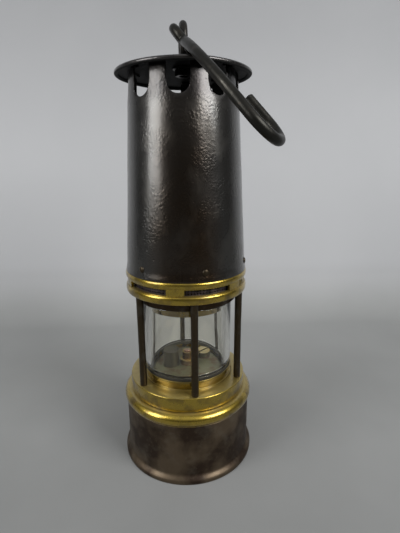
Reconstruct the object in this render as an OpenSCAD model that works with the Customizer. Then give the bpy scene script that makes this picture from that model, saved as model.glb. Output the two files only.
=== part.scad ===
// Miner's safety lamp, standing on a table, +Z up, origin in the middle of its base, millimetres.
// The camera side is -Y. A bearing of 0 degrees faces -Y and grows towards +X.

/* [Fuel vessel] */
// Outer radius of the steel shell
vessel_r = 41.8; // [41.5:0.1:46]
// Sheet thickness of the shell
vessel_wall = 1.2; // [0.8:0.1:1.6]
// Height of the shell, table to brass collar
vessel_h = 40; // [38:0.5:60]
// How far the foot flares out past the shell
foot_flare = 2.6; // [0.5:0.1:4]
// Height over which the foot flares
foot_h = 6; // [4:0.5:8]
// Height of the recessed bottom above the table
bottom_recess = 9; // [9:0.5:11]
// Thickness of the bottom disc
bottom_t = 1.2; // [0.8:0.1:2]
// Height of the lip that the bottom disc turns down
bottom_lip = 2.4; // [1.5:0.1:3]

/* [Brass collar] */
// Height of the collar that shows
collar_h = 7.6; // [6:0.1:9]
// How far the bead stands out past the shell
bead_out = 1.4; // [0.6:0.1:2.4]
// Radius of the bead's round section
bead_round = 4.2; // [3:0.1:5]
// Room between the lip of the seat ring and the bore of the neck
neck_room = 0.5; // [0.4:0.05:0.8]
// Wall of the neck
neck_wall = 3.5; // [2.5:0.1:4]
// Height of the neck above the collar
neck_h = 4.6; // [4:0.1:6]
// Depth of the collar's spigot inside the shell
collar_spigot = 4; // [2:0.5:6]
// Width of the shelf inside the neck that the deck lies on
deck_shelf = 1.5; // [1:0.1:2]
// Depth of that shelf below the top of the neck
deck_shelf_depth = 3.2; // [2.4:0.1:3.6]

/* [Burner] */
// Sheet thickness of the burner deck
deck_t = 1.3; // [0.8:0.1:1.6]
// Gap between the deck's raised middle and the seat ring around it
deck_room = 1; // [0.5:0.1:2]
// Height of the deck's raised middle above its flange
deck_rise = 13.5; // [10:0.1:14]
// Radius of the deck's shoulder
deck_shoulder = 2.2; // [1:0.1:4]
// Outer radius of the wick tube
wick_tube_r = 3.4; // [3.2:0.1:4]
// Wall of the wick tube
wick_tube_wall = 0.8; // [0.5:0.05:0.9]
// Height of the wick tube above the deck
wick_tube_up = 8; // [6:0.1:20]
// Length of the wick tube below the deck
wick_tube_down = 31; // [28:0.5:34]
// Radius of the wick tube's nut on the deck
tube_nut_r = 5; // [4.5:0.1:5.2]
// Height of that nut
tube_nut_h = 3.2; // [2:0.1:5]
// How far the wick stands out of its tube
wick_out = 1.1; // [0.5:0.1:4]
// Length of the wick
wick_length = 26; // [20:0.5:30]
// Length of the wick carrier
carrier_length = 18; // [12:0.5:20]
// Thickness of the carrier's closed end
carrier_end = 2; // [1:0.1:3]

/* [Spindles and knobs] */
// Radius of the wick spindle and the striker spindle
spindle_r = 1.5; // [1.2:0.05:1.6]
// How far the stop of a spindle stands out
stop_out = 1; // [0.6:0.1:1.5]
// Height of that stop
stop_h = 1.5; // [1:0.1:2]
// Room over the wick spindle's end in the carrier
spindle_room = 8; // [5:0.5:10]
// Distance of the striker spindle from the middle
striker_off = 11; // [10.8:0.1:12]
// Bearing of the striker spindle
striker_bearing = -80; // [-110:5:-60]
// Radius of both knobs
knob_r = 5.1; // [4.5:0.1:5.2]
// Height of a knob's grip
knob_h = 5.6; // [4:0.1:6]
// Clear height between a knob and the table
knob_clear = 1.6; // [1:0.1:2]
// Number of flutes round a knob
knob_flutes = 12; // [8:1:16]
// Radius of a flute
flute_r = 0.7; // [0.4:0.05:0.8]
// Radius of a spindle's gland on the bottom disc
gland_r = 3.6; // [3:0.1:3.8]
// Height of a gland above the bottom disc
gland_h = 3.8; // [3:0.1:5]
// Radius of the striker wheel
striker_wheel_r = 3.6; // [3:0.1:3.8]
// Thickness of the striker wheel
striker_wheel_t = 2; // [1:0.1:3]
// Teeth round the striker wheel
striker_teeth = 18; // [12:1:24]
// Outer radius of the striker's tube through the vessel
striker_tube_r = 2.7; // [2.4:0.1:3]

/* [Relighter housing] */
// Outer radius of the housing
housing_r = 5.2; // [4.8:0.1:5.4]
// Height of the housing above the deck
housing_h = 10.4; // [9:0.1:14]
// Wall of the housing
housing_wall = 0.9; // [0.7:0.1:1]
// Width of the window that faces the wick
window_w = 5; // [4:0.1:6]

/* [Filler plug] */
// Distance of the plug from the middle
plug_off = 14.5; // [13.5:0.1:15.5]
// Bearing of the plug
plug_bearing = 128; // [100:5:200]
// Radius of the plug's head
plug_head_r = 4.8; // [4.4:0.1:5.2]
// Height of the plug's head
plug_head_h = 3; // [2:0.1:4]
// Radius of the plug's body
plug_r = 3.2; // [2.6:0.1:3.4]
// Length of the plug's body below its washer
plug_length = 6; // [4:0.5:8]
// Thickness of the plug's washer
plug_washer_t = 0.8; // [0.5:0.1:1.2]
// Width of the coin slot in the head
plug_slot_w = 1.2; // [0.8:0.1:1.6]
// Depth of the coin slot
plug_slot_d = 1.3; // [0.6:0.1:1.6]

/* [Cage] */
// Gap between the collar and the lower ring
turn_gap = 0.4; // [0.3:0.1:1]
// Wall of the lower ring outside the neck
lower_ring_wall = 3.9; // [3.5:0.1:5]
// Height of the lower ring
lower_ring_h = 9.1; // [8.6:0.1:12]
// Thickness of the lower ring's top plate
lower_plate_t = 3.1; // [2.8:0.1:3.4]
// Thickness of the gasket between vessel and cage
vessel_gasket_t = 1.6; // [1.4:0.1:1.8]
// Outer radius of the golden seat ring
seat_r = 29.7; // [29.4:0.1:30.2]
// Wall of the seat ring
seat_wall = 5.1; // [4.5:0.1:5.3]
// Height of the groove at the foot of the seat ring
seat_groove_h = 3.1; // [2:0.1:5]
// Depth of that groove
seat_groove_d = 1.3; // [0.5:0.1:2]
// Height of the seat ring's upper band
seat_band_h = 2.8; // [2:0.1:6]
// Width of the seat ring's lip under the plate
seat_lip = 0.8; // [0.5:0.05:0.9]
// Thickness of that lip
seat_lip_t = 1.4; // [1:0.1:2]
// Diameter of a pillar
pillar_d = 4.5; // [3.6:0.1:5.4]
// Distance of a pillar's middle from the edge of the lower ring
pillar_in = 3.2; // [3:0.1:3.6]
// Number of pillars, which the node list names one by one
pillar_count = 6; // [6:1:6]
// Bearing of the first pillar
pillar_bearing = 7; // [0:1:60]
// Diameter of the tenon at each end of a pillar
tenon_d = 3; // [2:0.1:3.4]
// Length of the lower tenon
lower_tenon = 2.2; // [1.5:0.1:2.3]
// Length of the upper tenon
upper_tenon = 3.4; // [2:0.1:3.8]

/* [Glass] */
// How far the glass stands back from the edge of the seat ring
glass_in = 0.5; // [0.3:0.1:0.9]
// Wall of the glass
glass_wall = 5; // [3:0.1:5.2]
// Height of the glass
glass_h = 44.5; // [36:0.1:60]
// Thickness of the gasket under the glass
lower_gasket_t = 2; // [1:0.1:3]
// Thickness of the gasket above the glass
upper_gasket_t = 1.3; // [1:0.1:2]
// How far the golden ring reaches down inside the glass
gauze_ring_lap = 5.3; // [3:0.1:8]
// Wall of that ring
gauze_ring_wall = 1.5; // [1:0.1:1.7]
// How far the dark gauze flange stands out past the glass
flange_over = 3; // [2.6:0.1:3.3]
// Height of the gauze flange
flange_h = 5.6; // [4.6:0.1:8]
// Thickness of the ledge inside the flange that the gauzes stand on
flange_ledge_t = 2.6; // [1.5:0.1:3]

/* [Gauzes] */
// How far the foot of the outer gauze stands back from the edge of the glass
outer_gauze_in = 2.9; // [2.6:0.1:3.2]
// Distance between the feet of the two gauzes
gauze_space = 2.9; // [2.5:0.1:3.5]
// How much a gauze's radius shrinks over its height
gauze_taper = 4.6; // [2:0.1:6]
// Height of the outer gauze
outer_gauze_h = 110; // [90:0.5:112]
// Height of the inner gauze
inner_gauze_h = 104; // [80:0.5:106]
// Thickness of the gauze
gauze_t = 0.6; // [0.4:0.1:1]

/* [Upper ring] */
// How much larger the radius of the upper ring's two beads is than the lower ring's
upper_bead_over = 0.1; // [0:0.1:1.5]
// How far the slotted band between them stands back
upper_band_in = 0.9; // [0.5:0.1:1.2]
// Wall of the slotted band
upper_band_wall = 1.6; // [1.2:0.1:2]
// Height of the lower bead, which is the ring's floor plate
upper_plate_h = 4.8; // [4.4:0.1:7]
// Height of the slotted band
upper_band_h = 4.6; // [4.4:0.1:8]
// Height of the upper bead
upper_bead_h = 3.7; // [2:0.1:5]
// Rounding of the beads' edges
bead_edge = 0.7; // [0.3:0.1:0.9]
// Height of an air slot
slot_h = 3.8; // [2:0.1:4]
// Height of the slots' sills above the lower bead
slot_sill = 0.4; // [0.4:0.1:1.2]
// Angle that an air slot spans
slot_angle = 44; // [20:1:50]
// Number of air slots
slot_count = 6; // [3:1:6]
// Bearing of the middle of one slot
slot_bearing = 20; // [0:1:60]
// Height of the spigot that the bonnet slips over
spigot_h = 8.5; // [7:0.1:14]
// Wall of the spigot
spigot_wall = 1; // [0.8:0.1:1.4]
// Gap between the perforated inlet ring and the wall of the slotted band
inlet_room = 1.6; // [1:0.1:3]
// Thickness of the inlet ring
inlet_t = 0.8; // [0.5:0.1:1.2]

/* [Bonnet] */
// How far the foot of the bonnet stands back behind the upper bead, before the flare
bonnet_in = 1.06; // [0.6:0.02:1.2]
// Radius of the bonnet at its top
bonnet_top_r = 31.24; // [30:0.02:33]
// Height of the bonnet
bonnet_h = 113.7; // [110:0.1:150]
// Sheet thickness of the bonnet
bonnet_t = 1; // [0.8:0.1:1.4]
// How far the foot flares out
bonnet_flare = 0.5; // [0:0.1:1]
// Height of the flared stretch
bonnet_flare_h = 5; // [3:0.5:8]
// Number of openings round the top
opening_count = 9; // [6:1:10]
// Bearing of the middle of one opening
opening_bearing = -5; // [-40:1:40]
// Width of an opening
opening_w = 12.3; // [8:0.1:14]
// Depth of an opening below the top of the bonnet
opening_depth = 16; // [12:0.1:24]
// Width of the lip that each tab turns in under the cap
tab_lip = 3.4; // [2:0.1:5]
// Number of rivets at the foot
rivet_count = 6; // [4:1:8]
// Bearing of the first rivet
rivet_bearing = 17; // [0:1:60]
// Height of the rivets above the foot
rivet_up = 5.3; // [4:0.1:6]
// Radius of a rivet's shank
rivet_r = 1.1; // [0.8:0.1:1.4]
// Radius of a rivet's head
rivet_head_r = 2; // [1.6:0.1:2.6]
// Height of a rivet's head
rivet_head_h = 0.9; // [0.6:0.1:1.4]

/* [Cap] */
// Outer radius of the cap's rolled rim
cap_r = 38.8; // [37:0.1:42]
// Radius of the roll at the rim
cap_roll_r = 1.2; // [0.9:0.1:1.6]
// Sheet thickness of the cap
cap_t = 1; // [0.7:0.1:1.2]
// How much higher the middle of the cap is than its rim
cap_rise = 4; // [3:0.1:6]

/* [Swivel] */
// Radius of the swivel's stem
stem_r = 2.6; // [2:0.05:3]
// Radius of the swivel's neck above its collar
swivel_neck_r = 2.3; // [1.8:0.05:2.35]
// Radius of the swivel's collar
swivel_collar_r = 4.5; // [4:0.1:6]
// Height of the swivel's collar
swivel_collar_h = 1.8; // [1:0.1:2.4]
// Radius of the washer under the cap
swivel_washer_r = 6; // [5.2:0.1:7]
// Thickness of that washer
swivel_washer_t = 1.2; // [0.8:0.1:1.6]
// Radius across the corners of the nut under the cap
nut_r = 4.8; // [4.4:0.1:5.4]
// Height of that nut
nut_h = 3.4; // [2:0.1:4]
// Wire diameter of the swivel's eye
swivel_wire = 4.2; // [3.6:0.1:4.3]
// Mean radius of the swivel's eye and of the hook's eye
eye_r = 8; // [7.9:0.05:8.2]
// Height of the middle of the swivel's eye above the cap
eye_up = 12.05; // [12:0.05:12.6]
// Bearing of the plane of the swivel's eye
eye_bearing = 4.4; // [3:0.1:6]

/* [Hook] */
// Diameter of the hook's rod
hook_wire = 5; // [4.4:0.1:5.1]
// Bearing of the hook's shank
hook_bearing = 3; // [2:0.5:4]
// Dip of the shank below level at the eye
hook_dip = 15.5; // [14.5:0.1:15.7]
// Roll of the hook about its shank
hook_roll = 42.7; // [42:0.1:43.5]
// How far the two eyes' middles hang below each other, as an angle
link_dip = 16.8; // [16:0.1:17.5]
// Radius of the short turn between eye and shank
turn_r = 4; // [3.5:0.1:5]
// Angle through which the shank bows
shank_bow = 56.5; // [55:0.5:58]
// Length of the bowed shank
shank_length = 75.9; // [75.5:0.1:78]
// Twist between the shank's bow and the bend
bend_twist = 12.5; // [11:0.5:14]
// Radius of the bend
bend_r = 12.6; // [12.4:0.1:12.8]
// Angle of the bend
bend_angle = 186; // [180:1:192]
// Length of the straight end past the bend
tail_length = 14; // [12:0.1:18]
// Chamfer round the rod's cut ends
rod_edge = 0.6; // [0.3:0.1:1]

/* [Clearances] */
// Gap between pieces that are fixed to each other
fit_gap = 0.1; // [0.05:0.01:0.2]
// Radial gap of a shaft that turns in its hole
running_gap = 0.05; // [0.03:0.01:0.08]
// Radial gap of the neck in the lower ring
thread_gap = 0.08; // [0.05:0.01:0.1]
// Gap between pieces that move past each other
free_gap = 0.3; // [0.2:0.05:0.4]

/* [Hidden] */
$fn = 96;
fine = 24;
overshoot = 1;

// Levels of the vessel
z_bottom = bottom_recess;
z_bottom_top = z_bottom + bottom_t;
z_gland = z_bottom_top + gland_h;
z_collar = vessel_h;
z_collar_top = z_collar + collar_h;
z_neck = z_collar_top + neck_h;
z_shelf = z_neck - deck_shelf_depth;
z_deck = z_shelf + deck_rise;
z_tube_top = z_deck + wick_tube_up;
z_tube_foot = z_deck - wick_tube_down;

// Levels of the cage
z_ring = z_collar_top + turn_gap;
z_ring_top = z_ring + lower_ring_h;
z_plate = z_ring_top - lower_plate_t;
z_seat = z_ring_top + seat_groove_h + seat_band_h;
z_glass = z_seat + lower_gasket_t;
z_glass_top = z_glass + glass_h;
z_flange = z_glass_top + upper_gasket_t;
z_ledge = z_flange + flange_ledge_t;
z_upper = z_flange + flange_h;
z_band = z_upper + upper_plate_h;
z_bead = z_band + upper_band_h;
z_bonnet = z_bead + upper_bead_h + fit_gap;
z_bonnet_top = z_bonnet + bonnet_h;

// Radii that other pieces share
shell_bore_r = vessel_r - vessel_wall;
tube_bore_r = wick_tube_r - wick_tube_wall;
bottom_hole_r = spindle_r + running_gap;

// Radii of the cage, of the neck under it and of the bonnet on it, which all follow the seat ring
seat_bore_r = seat_r - seat_wall;
deck_r = seat_bore_r - deck_room;
neck_bore_r = seat_r + seat_lip + neck_room;
neck_r = neck_bore_r + neck_wall;
ring_bore_r = neck_r + thread_gap;
lower_ring_r = neck_r + lower_ring_wall;
pillar_pitch_r = lower_ring_r - pillar_in;
glass_r = seat_r - glass_in;
glass_bore_r = glass_r - glass_wall;
gauze_ring_r = glass_bore_r - free_gap;
flange_r = glass_r + flange_over;
outer_gauze_r = glass_r - outer_gauze_in;
inner_gauze_r = outer_gauze_r - gauze_space;
upper_bead_r = lower_ring_r + upper_bead_over;
upper_band_r = upper_bead_r - upper_band_in;
inlet_r = upper_band_r - upper_band_wall - inlet_room;
bonnet_foot_r = upper_bead_r - bonnet_in;

// Outer radius of the bonnet at a height above its foot, without and with the flare of the foot
function bonnet_r(up) = bonnet_foot_r - (bonnet_foot_r - bonnet_top_r) * up / bonnet_h;
function bonnet_flared_r(up) = bonnet_r(up) + bonnet_flare * (1 + cos(180 * min(1, up / bonnet_flare_h))) / 2;
spigot_r = bonnet_r(spigot_h) - bonnet_t - fit_gap;

// Height of the cap's upper face at a distance from the middle
cap_edge_r = cap_r - cap_roll_r;
z_cap = z_bonnet_top + cap_t + fit_gap - cap_rise * (1 - pow(bonnet_top_r / cap_edge_r, 2));
function cap_top(r) = z_cap + cap_rise * (1 - pow(r / cap_edge_r, 2));
z_swivel = cap_top(0) + fit_gap;
z_eye = cap_top(0) + eye_up;

// Middle of the hook's eye, hung from the swivel's eye
hook_x = eye_r * cos(link_dip) * sin(eye_bearing);
hook_y = -eye_r * cos(link_dip) * cos(eye_bearing);
hook_z = z_eye - eye_r * sin(link_dip);

// A turned piece, from points of radius and height
module turned(outline) {
    rotate_extrude()
        polygon(outline);
}

// A plain ring between two radii and two heights
module ring(outer, bore, low, high) {
    turned([[bore, low], [outer, low], [outer, high], [bore, high]]);
}

// Puts something at a bearing and a distance from the middle
module at_bearing(bearing, distance) {
    rotate([0, 0, bearing])
        translate([0, -distance, 0])
            children();
}

// Copies spread evenly round the lamp
module spread(count, first) {
    for (i = [0 : count - 1])
        rotate([0, 0, first + i * 360 / count])
            children();
}

// A straight round bar or hole along Z
module bar(r, low, high) {
    translate([0, 0, low])
        cylinder(r = r, h = high - low);
}

// Points of a bead that bulges from one radius to another between two heights
function bulge(inner, outer, low, high) = [
    for (a = [-90 : 15 : 90])
        [inner + (outer - inner) * cos(a), (low + high) / 2 + (high - low) / 2 * sin(a)]
];

// Fuel vessel
module vessel_shell() {
    flare_steps = 8;
    lip = foot_h * 0.25;
    function out(t) = foot_flare * (1 + cos(180 * t)) / 2;
    function up(t) = lip + (foot_h - lip) * t;
    color("dimgray")
        turned([
            [shell_bore_r + foot_flare, 0],
            [vessel_r + foot_flare, 0],
            for (i = [0 : flare_steps]) [vessel_r + out(i / flare_steps), up(i / flare_steps)],
            [vessel_r, z_collar],
            [shell_bore_r, z_collar],
            for (i = [flare_steps : -1 : 0]) [shell_bore_r + out(i / flare_steps), up(i / flare_steps)]
        ]);
}

module vessel_bottom() {
    r = shell_bore_r - fit_gap;
    color("dimgray")
        difference() {
            union() {
                turned([
                    [0, z_bottom],
                    [r - bottom_t, z_bottom],
                    [r - bottom_t, z_bottom - bottom_lip],
                    [r, z_bottom - bottom_lip],
                    [r, z_bottom_top],
                    [0, z_bottom_top]
                ]);
                bar(gland_r, z_bottom, z_gland);
                at_bearing(striker_bearing, striker_off)
                    bar(gland_r, z_bottom, z_gland);
            }
            bar(bottom_hole_r, z_bottom - overshoot, z_gland + overshoot);
            at_bearing(striker_bearing, striker_off)
                bar(bottom_hole_r, z_bottom - overshoot, z_gland + overshoot);
        }
}

module vessel_collar() {
    spigot_out = shell_bore_r - fit_gap;
    web_z = z_collar + collar_h / 2;
    bead_middle_r = vessel_r + bead_out - bead_round;
    bead_turn = acos(1 - bead_out / bead_round);
    bead_steps = 14;
    color("darkgoldenrod")
        turned([
            [spigot_out - vessel_wall, z_collar - collar_spigot],
            [spigot_out, z_collar - collar_spigot],
            [spigot_out, z_collar],
            [vessel_r, z_collar],
            for (i = [0 : bead_steps])
                let (a = 90 - (90 + bead_turn) * (1 - i / bead_steps))
                    [bead_middle_r + bead_round * cos(a), z_collar_top - bead_round + bead_round * sin(a)],
            [neck_r, z_collar_top],
            [neck_r, z_neck],
            [neck_bore_r, z_neck],
            [neck_bore_r, z_shelf],
            [neck_bore_r - deck_shelf, z_shelf],
            [neck_bore_r - deck_shelf, web_z],
            [spigot_out - vessel_wall, web_z]
        ]);
}

// Burner
module burner_deck() {
    flange_out = neck_bore_r - fit_gap;
    side_r = deck_r - deck_t;
    color("darkseagreen")
        difference() {
            turned([
                [0, z_deck - deck_t],
                [side_r - deck_shoulder, z_deck - deck_t],
                [side_r - deck_t / 2, z_deck - deck_t - deck_shoulder / 2],
                [side_r, z_shelf],
                [flange_out, z_shelf],
                [flange_out, z_shelf + deck_t],
                [deck_r, z_shelf + deck_t],
                [deck_r - deck_t / 4, z_deck - deck_shoulder],
                [deck_r - deck_shoulder / 3, z_deck - deck_shoulder / 3],
                [deck_r - deck_shoulder, z_deck],
                [0, z_deck]
            ]);
            bar(wick_tube_r + fit_gap, z_shelf, z_deck + overshoot);
            at_bearing(striker_bearing, striker_off)
                bar(bottom_hole_r, z_shelf, z_deck + overshoot);
            at_bearing(plug_bearing, plug_off)
                bar(plug_r + running_gap, z_shelf, z_deck + overshoot);
        }
}

module cotton_wadding() {
    low = z_bottom_top + free_gap;
    high = z_collar - free_gap;
    color("ivory")
        difference() {
            bar(shell_bore_r - fit_gap - vessel_wall - free_gap, low, high);
            bar(wick_tube_r + 3 * free_gap, low - overshoot, high + overshoot);
            at_bearing(striker_bearing, striker_off)
                bar(gland_r + free_gap, low - overshoot, high + overshoot);
        }
}

module wick_tube() {
    color("peru")
        difference() {
            union() {
                bar(wick_tube_r, z_tube_foot, z_tube_top);
                bar(tube_nut_r, z_deck, z_deck + tube_nut_h);
            }
            bar(tube_bore_r, z_tube_foot - overshoot, z_tube_top + overshoot);
        }
}

wick_r = tube_bore_r - free_gap;
z_wick_top = z_tube_top + wick_out;
z_wick = z_wick_top - wick_length;

module wick() {
    color("wheat")
        bar(wick_r, z_wick, z_wick_top);
}

module wick_carrier() {
    color("goldenrod")
        difference() {
            bar(tube_bore_r - free_gap / 2, z_wick - carrier_length, z_wick);
            bar(spindle_r + running_gap, z_wick - carrier_length - overshoot, z_wick - carrier_end);
        }
}

// Spindles and knobs
knob_top = knob_clear + knob_h;
spindle_foot = knob_clear + knob_h / 3;

module spindle(top) {
    bar(spindle_r, spindle_foot, top);
    bar(spindle_r + stop_out, z_gland + running_gap, z_gland + stop_h);
}

module knob() {
    difference() {
        union() {
            bar(knob_r, knob_clear, knob_top);
            bar(knob_r / 2, knob_top - fit_gap, z_bottom - free_gap);
        }
        bar(spindle_r + running_gap / 2, spindle_foot, z_bottom);
        spread(knob_flutes, 0)
            translate([knob_r, 0, knob_clear - overshoot])
                cylinder(r = flute_r, h = knob_h + 2 * overshoot, $fn = fine);
    }
}

module wick_spindle() {
    color("silver")
        spindle(z_wick - carrier_end - spindle_room);
}

module wick_knob() {
    color("darkgoldenrod")
        knob();
}

z_wheel = z_deck + housing_h - housing_wall - free_gap - striker_wheel_t;

module striker_spindle() {
    tooth = 2 * PI * striker_wheel_r / striker_teeth / 3;
    color("silver")
        at_bearing(striker_bearing, striker_off)
            difference() {
                union() {
                    bar(spindle_r, spindle_foot, z_wheel + striker_wheel_t / 2);
                    bar(striker_wheel_r, z_wheel, z_wheel + striker_wheel_t);
                }
                spread(striker_teeth, 0)
                    translate([striker_wheel_r, 0, z_wheel - overshoot])
                        cylinder(r = tooth / 2, h = striker_wheel_t + 2 * overshoot, $fn = fine);
            }
}

module striker_knob() {
    color("darkgoldenrod")
        at_bearing(striker_bearing, striker_off)
            knob();
}

module striker_tube() {
    color("peru")
        at_bearing(striker_bearing, striker_off)
            ring(striker_tube_r, spindle_r + free_gap, z_gland, z_deck - deck_t);
}

module relighter_housing() {
    high = z_deck + housing_h;
    color("slategray")
        difference() {
            at_bearing(striker_bearing, striker_off)
                bar(housing_r, z_deck, high);
            at_bearing(striker_bearing, striker_off)
                bar(housing_r - housing_wall, z_deck + housing_wall, high - housing_wall);
            at_bearing(striker_bearing, striker_off)
                bar(bottom_hole_r, z_deck - overshoot, z_deck + 2 * housing_wall);
            rotate([0, 0, striker_bearing])
                translate([-window_w / 2, -striker_off, high - housing_wall - window_w])
                    cube([window_w, striker_off, window_w]);
        }
}

// Filler plug
z_washer = z_deck + running_gap;
z_plug = z_washer + plug_washer_t + running_gap;

module filler_plug() {
    color("darkgoldenrod")
        at_bearing(plug_bearing, plug_off)
            difference() {
                union() {
                    bar(plug_r, z_deck - plug_length, z_plug + plug_head_h / 2);
                    bar(plug_head_r, z_plug, z_plug + plug_head_h);
                }
                translate([-plug_slot_w / 2, -plug_head_r - overshoot, z_plug + plug_head_h - plug_slot_d])
                    cube([plug_slot_w, 2 * (plug_head_r + overshoot), plug_slot_d + overshoot]);
            }
}

module filler_washer() {
    color("saddlebrown")
        at_bearing(plug_bearing, plug_off)
            ring(plug_head_r, plug_r + running_gap, z_washer, z_washer + plug_washer_t);
}

// Cage
module vessel_gasket() {
    color("saddlebrown")
        ring(neck_r - free_gap, neck_bore_r + free_gap, z_neck + fit_gap, z_neck + vessel_gasket_t);
}

module pillar_sockets(r, low, high) {
    spread(pillar_count, pillar_bearing)
        translate([0, -pillar_pitch_r, 0])
            bar(r, low, high);
}

module lower_ring() {
    edge = bead_edge;
    color("goldenrod")
        difference() {
            turned([
                [ring_bore_r, z_ring],
                [lower_ring_r - edge / 2, z_ring],
                [lower_ring_r, z_ring + edge / 2],
                for (a = [0 : 22.5 : 90])
                    [lower_ring_r - edge + edge * cos(a), z_ring_top - edge + edge * sin(a)],
                [seat_r + fit_gap, z_ring_top],
                [seat_r + fit_gap, z_plate],
                [ring_bore_r, z_plate]
            ]);
            pillar_sockets(tenon_d / 2 + running_gap, z_ring_top - lower_tenon - fit_gap, z_ring_top + overshoot);
        }
}

module seat_ring() {
    groove_r = seat_r - seat_groove_d;
    color("gold")
        turned([
            [seat_bore_r, z_plate - seat_lip_t],
            [seat_r + seat_lip, z_plate - seat_lip_t],
            [seat_r + seat_lip, z_plate - fit_gap],
            [seat_r, z_plate - fit_gap],
            [seat_r, z_ring_top],
            [groove_r, z_ring_top],
            [groove_r, z_ring_top + seat_groove_h],
            [seat_r - bead_edge / 2, z_ring_top + seat_groove_h],
            [seat_r, z_ring_top + seat_groove_h + bead_edge / 2],
            [seat_r, z_seat - bead_edge / 2],
            [seat_r - bead_edge / 2, z_seat],
            [seat_bore_r, z_seat]
        ]);
}

module lower_gasket() {
    color("black")
        ring(glass_r, glass_bore_r, z_seat, z_glass);
}

module glass() {
    color("lightblue", 0.35)
        ring(glass_r, glass_bore_r, z_glass, z_glass_top);
}

module upper_gasket() {
    color("black")
        ring(glass_r, glass_bore_r, z_glass_top, z_flange);
}

module gauze_ring() {
    color("gold")
        ring(gauze_ring_r, gauze_ring_r - gauze_ring_wall, z_glass_top - gauze_ring_lap, z_flange);
}

ledge_bore_r = inner_gauze_r - 3 * gauze_t;

module gauze_flange() {
    color("dimgray")
        turned([
            [ledge_bore_r, z_flange],
            [flange_r, z_flange],
            [flange_r, z_upper],
            [outer_gauze_r + fit_gap, z_upper],
            [outer_gauze_r + fit_gap, z_ledge],
            [ledge_bore_r, z_ledge]
        ]);
}

module gauze(r, h) {
    top_r = r - gauze_taper;
    turned([
        [r - gauze_t, z_ledge],
        [r, z_ledge],
        [top_r, z_ledge + h],
        [0, z_ledge + h],
        [0, z_ledge + h - gauze_t],
        [top_r - gauze_t, z_ledge + h - gauze_t]
    ]);
}

module inner_gauze() {
    color("gray")
        gauze(inner_gauze_r, inner_gauze_h);
}

module outer_gauze() {
    color("gray")
        gauze(outer_gauze_r, outer_gauze_h);
}

module pillar(number) {
    color("darkslategray")
        rotate([0, 0, pillar_bearing + (number - 1) * 360 / pillar_count])
            translate([0, -pillar_pitch_r, 0]) {
                bar(pillar_d / 2, z_ring_top, z_upper);
                bar(tenon_d / 2, z_ring_top - lower_tenon, z_upper + upper_tenon);
            }
}

module upper_ring() {
    band_low = z_band + bead_edge / 2;
    slot_low = z_band + slot_sill;
    bore_low = outer_gauze_r + free_gap;
    band_bore = upper_band_r - upper_band_wall;
    color("goldenrod")
        difference() {
            turned([
                [bore_low, z_upper],
                for (p = bulge(upper_band_r, upper_bead_r, z_upper, z_band)) p,
                [upper_band_r - bead_edge / 2, z_band],
                [upper_band_r - bead_edge / 2, band_low],
                [upper_band_r, band_low],
                for (p = bulge(upper_band_r, upper_bead_r, z_bead, z_bonnet - fit_gap)) p,
                [spigot_r, z_bonnet - fit_gap],
                [spigot_r, z_bonnet + spigot_h - fit_gap],
                [spigot_r - spigot_wall, z_bonnet + spigot_h - fit_gap],
                [spigot_r - spigot_wall, z_bead],
                [band_bore, z_bead],
                [band_bore, z_band],
                [bore_low, z_band]
            ]);
            pillar_sockets(tenon_d / 2 + running_gap, z_upper - overshoot, z_upper + upper_tenon + fit_gap);
            spread(slot_count, slot_bearing - 90 - slot_angle / 2)
                rotate_extrude(angle = slot_angle)
                    translate([band_bore - overshoot, slot_low])
                        square([upper_band_wall + 2 * overshoot, slot_h]);
            rivet_holes();
        }
}

module inlet_ring() {
    high = z_bead - free_gap;
    color("thistle")
        turned([
            [inlet_r - inlet_t, z_band],
            [inlet_r, z_band],
            [inlet_r, high],
            [outer_gauze_r + free_gap, high],
            [outer_gauze_r + free_gap, high - inlet_t],
            [inlet_r - inlet_t, high - inlet_t]
        ]);
}

// Bonnet
module at_rivets() {
    spread(rivet_count, rivet_bearing)
        translate([0, 0, z_bonnet + rivet_up])
            rotate([90, 0, 0])
                children();
}

module rivet_holes() {
    at_rivets()
        bar(rivet_r + running_gap, spigot_r - 3 * spigot_wall, bonnet_foot_r + overshoot);
}

module bonnet() {
    lip_out = bonnet_top_r - bonnet_t;
    flare_steps = 5;
    function up(i) = bonnet_flare_h * i / flare_steps;
    color("darkslategray")
        difference() {
            turned([
                for (i = [0 : flare_steps]) [bonnet_flared_r(up(i)), z_bonnet + up(i)],
                [bonnet_top_r, z_bonnet_top],
                [bonnet_top_r - tab_lip, cap_top(bonnet_top_r - tab_lip) - cap_t - fit_gap],
                [bonnet_top_r - tab_lip, cap_top(bonnet_top_r - tab_lip) - cap_t - fit_gap - bonnet_t],
                [lip_out, z_bonnet_top - bonnet_t],
                for (i = [flare_steps : -1 : 0])
                    [bonnet_flared_r(up(i)) - bonnet_t, z_bonnet + up(i)]
            ]);
            spread(opening_count, opening_bearing)
                translate([0, 0, z_bonnet_top - opening_depth + opening_w / 2])
                    rotate([90, 0, 0])
                        bar(opening_w / 2, outer_gauze_r - gauze_taper, cap_r);
            spread(opening_count, opening_bearing)
                translate([-opening_w / 2, -cap_r, z_bonnet_top - opening_depth + opening_w / 2])
                    cube([opening_w, cap_r - outer_gauze_r + gauze_taper, opening_depth + cap_rise]);
            rivet_holes();
        }
}

module bonnet_rivets() {
    out = bonnet_flared_r(rivet_up - rivet_head_r) + fit_gap;
    dome = (rivet_head_r * rivet_head_r + rivet_head_h * rivet_head_h) / (2 * rivet_head_h);
    color("dimgray")
        at_rivets() {
            bar(rivet_r, spigot_r - spigot_wall, out + rivet_head_h / 2);
            intersection() {
                translate([0, 0, out + rivet_head_h - dome])
                    sphere(r = dome);
                bar(rivet_head_r + overshoot, out, out + 2 * rivet_head_h);
            }
        }
}

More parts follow.
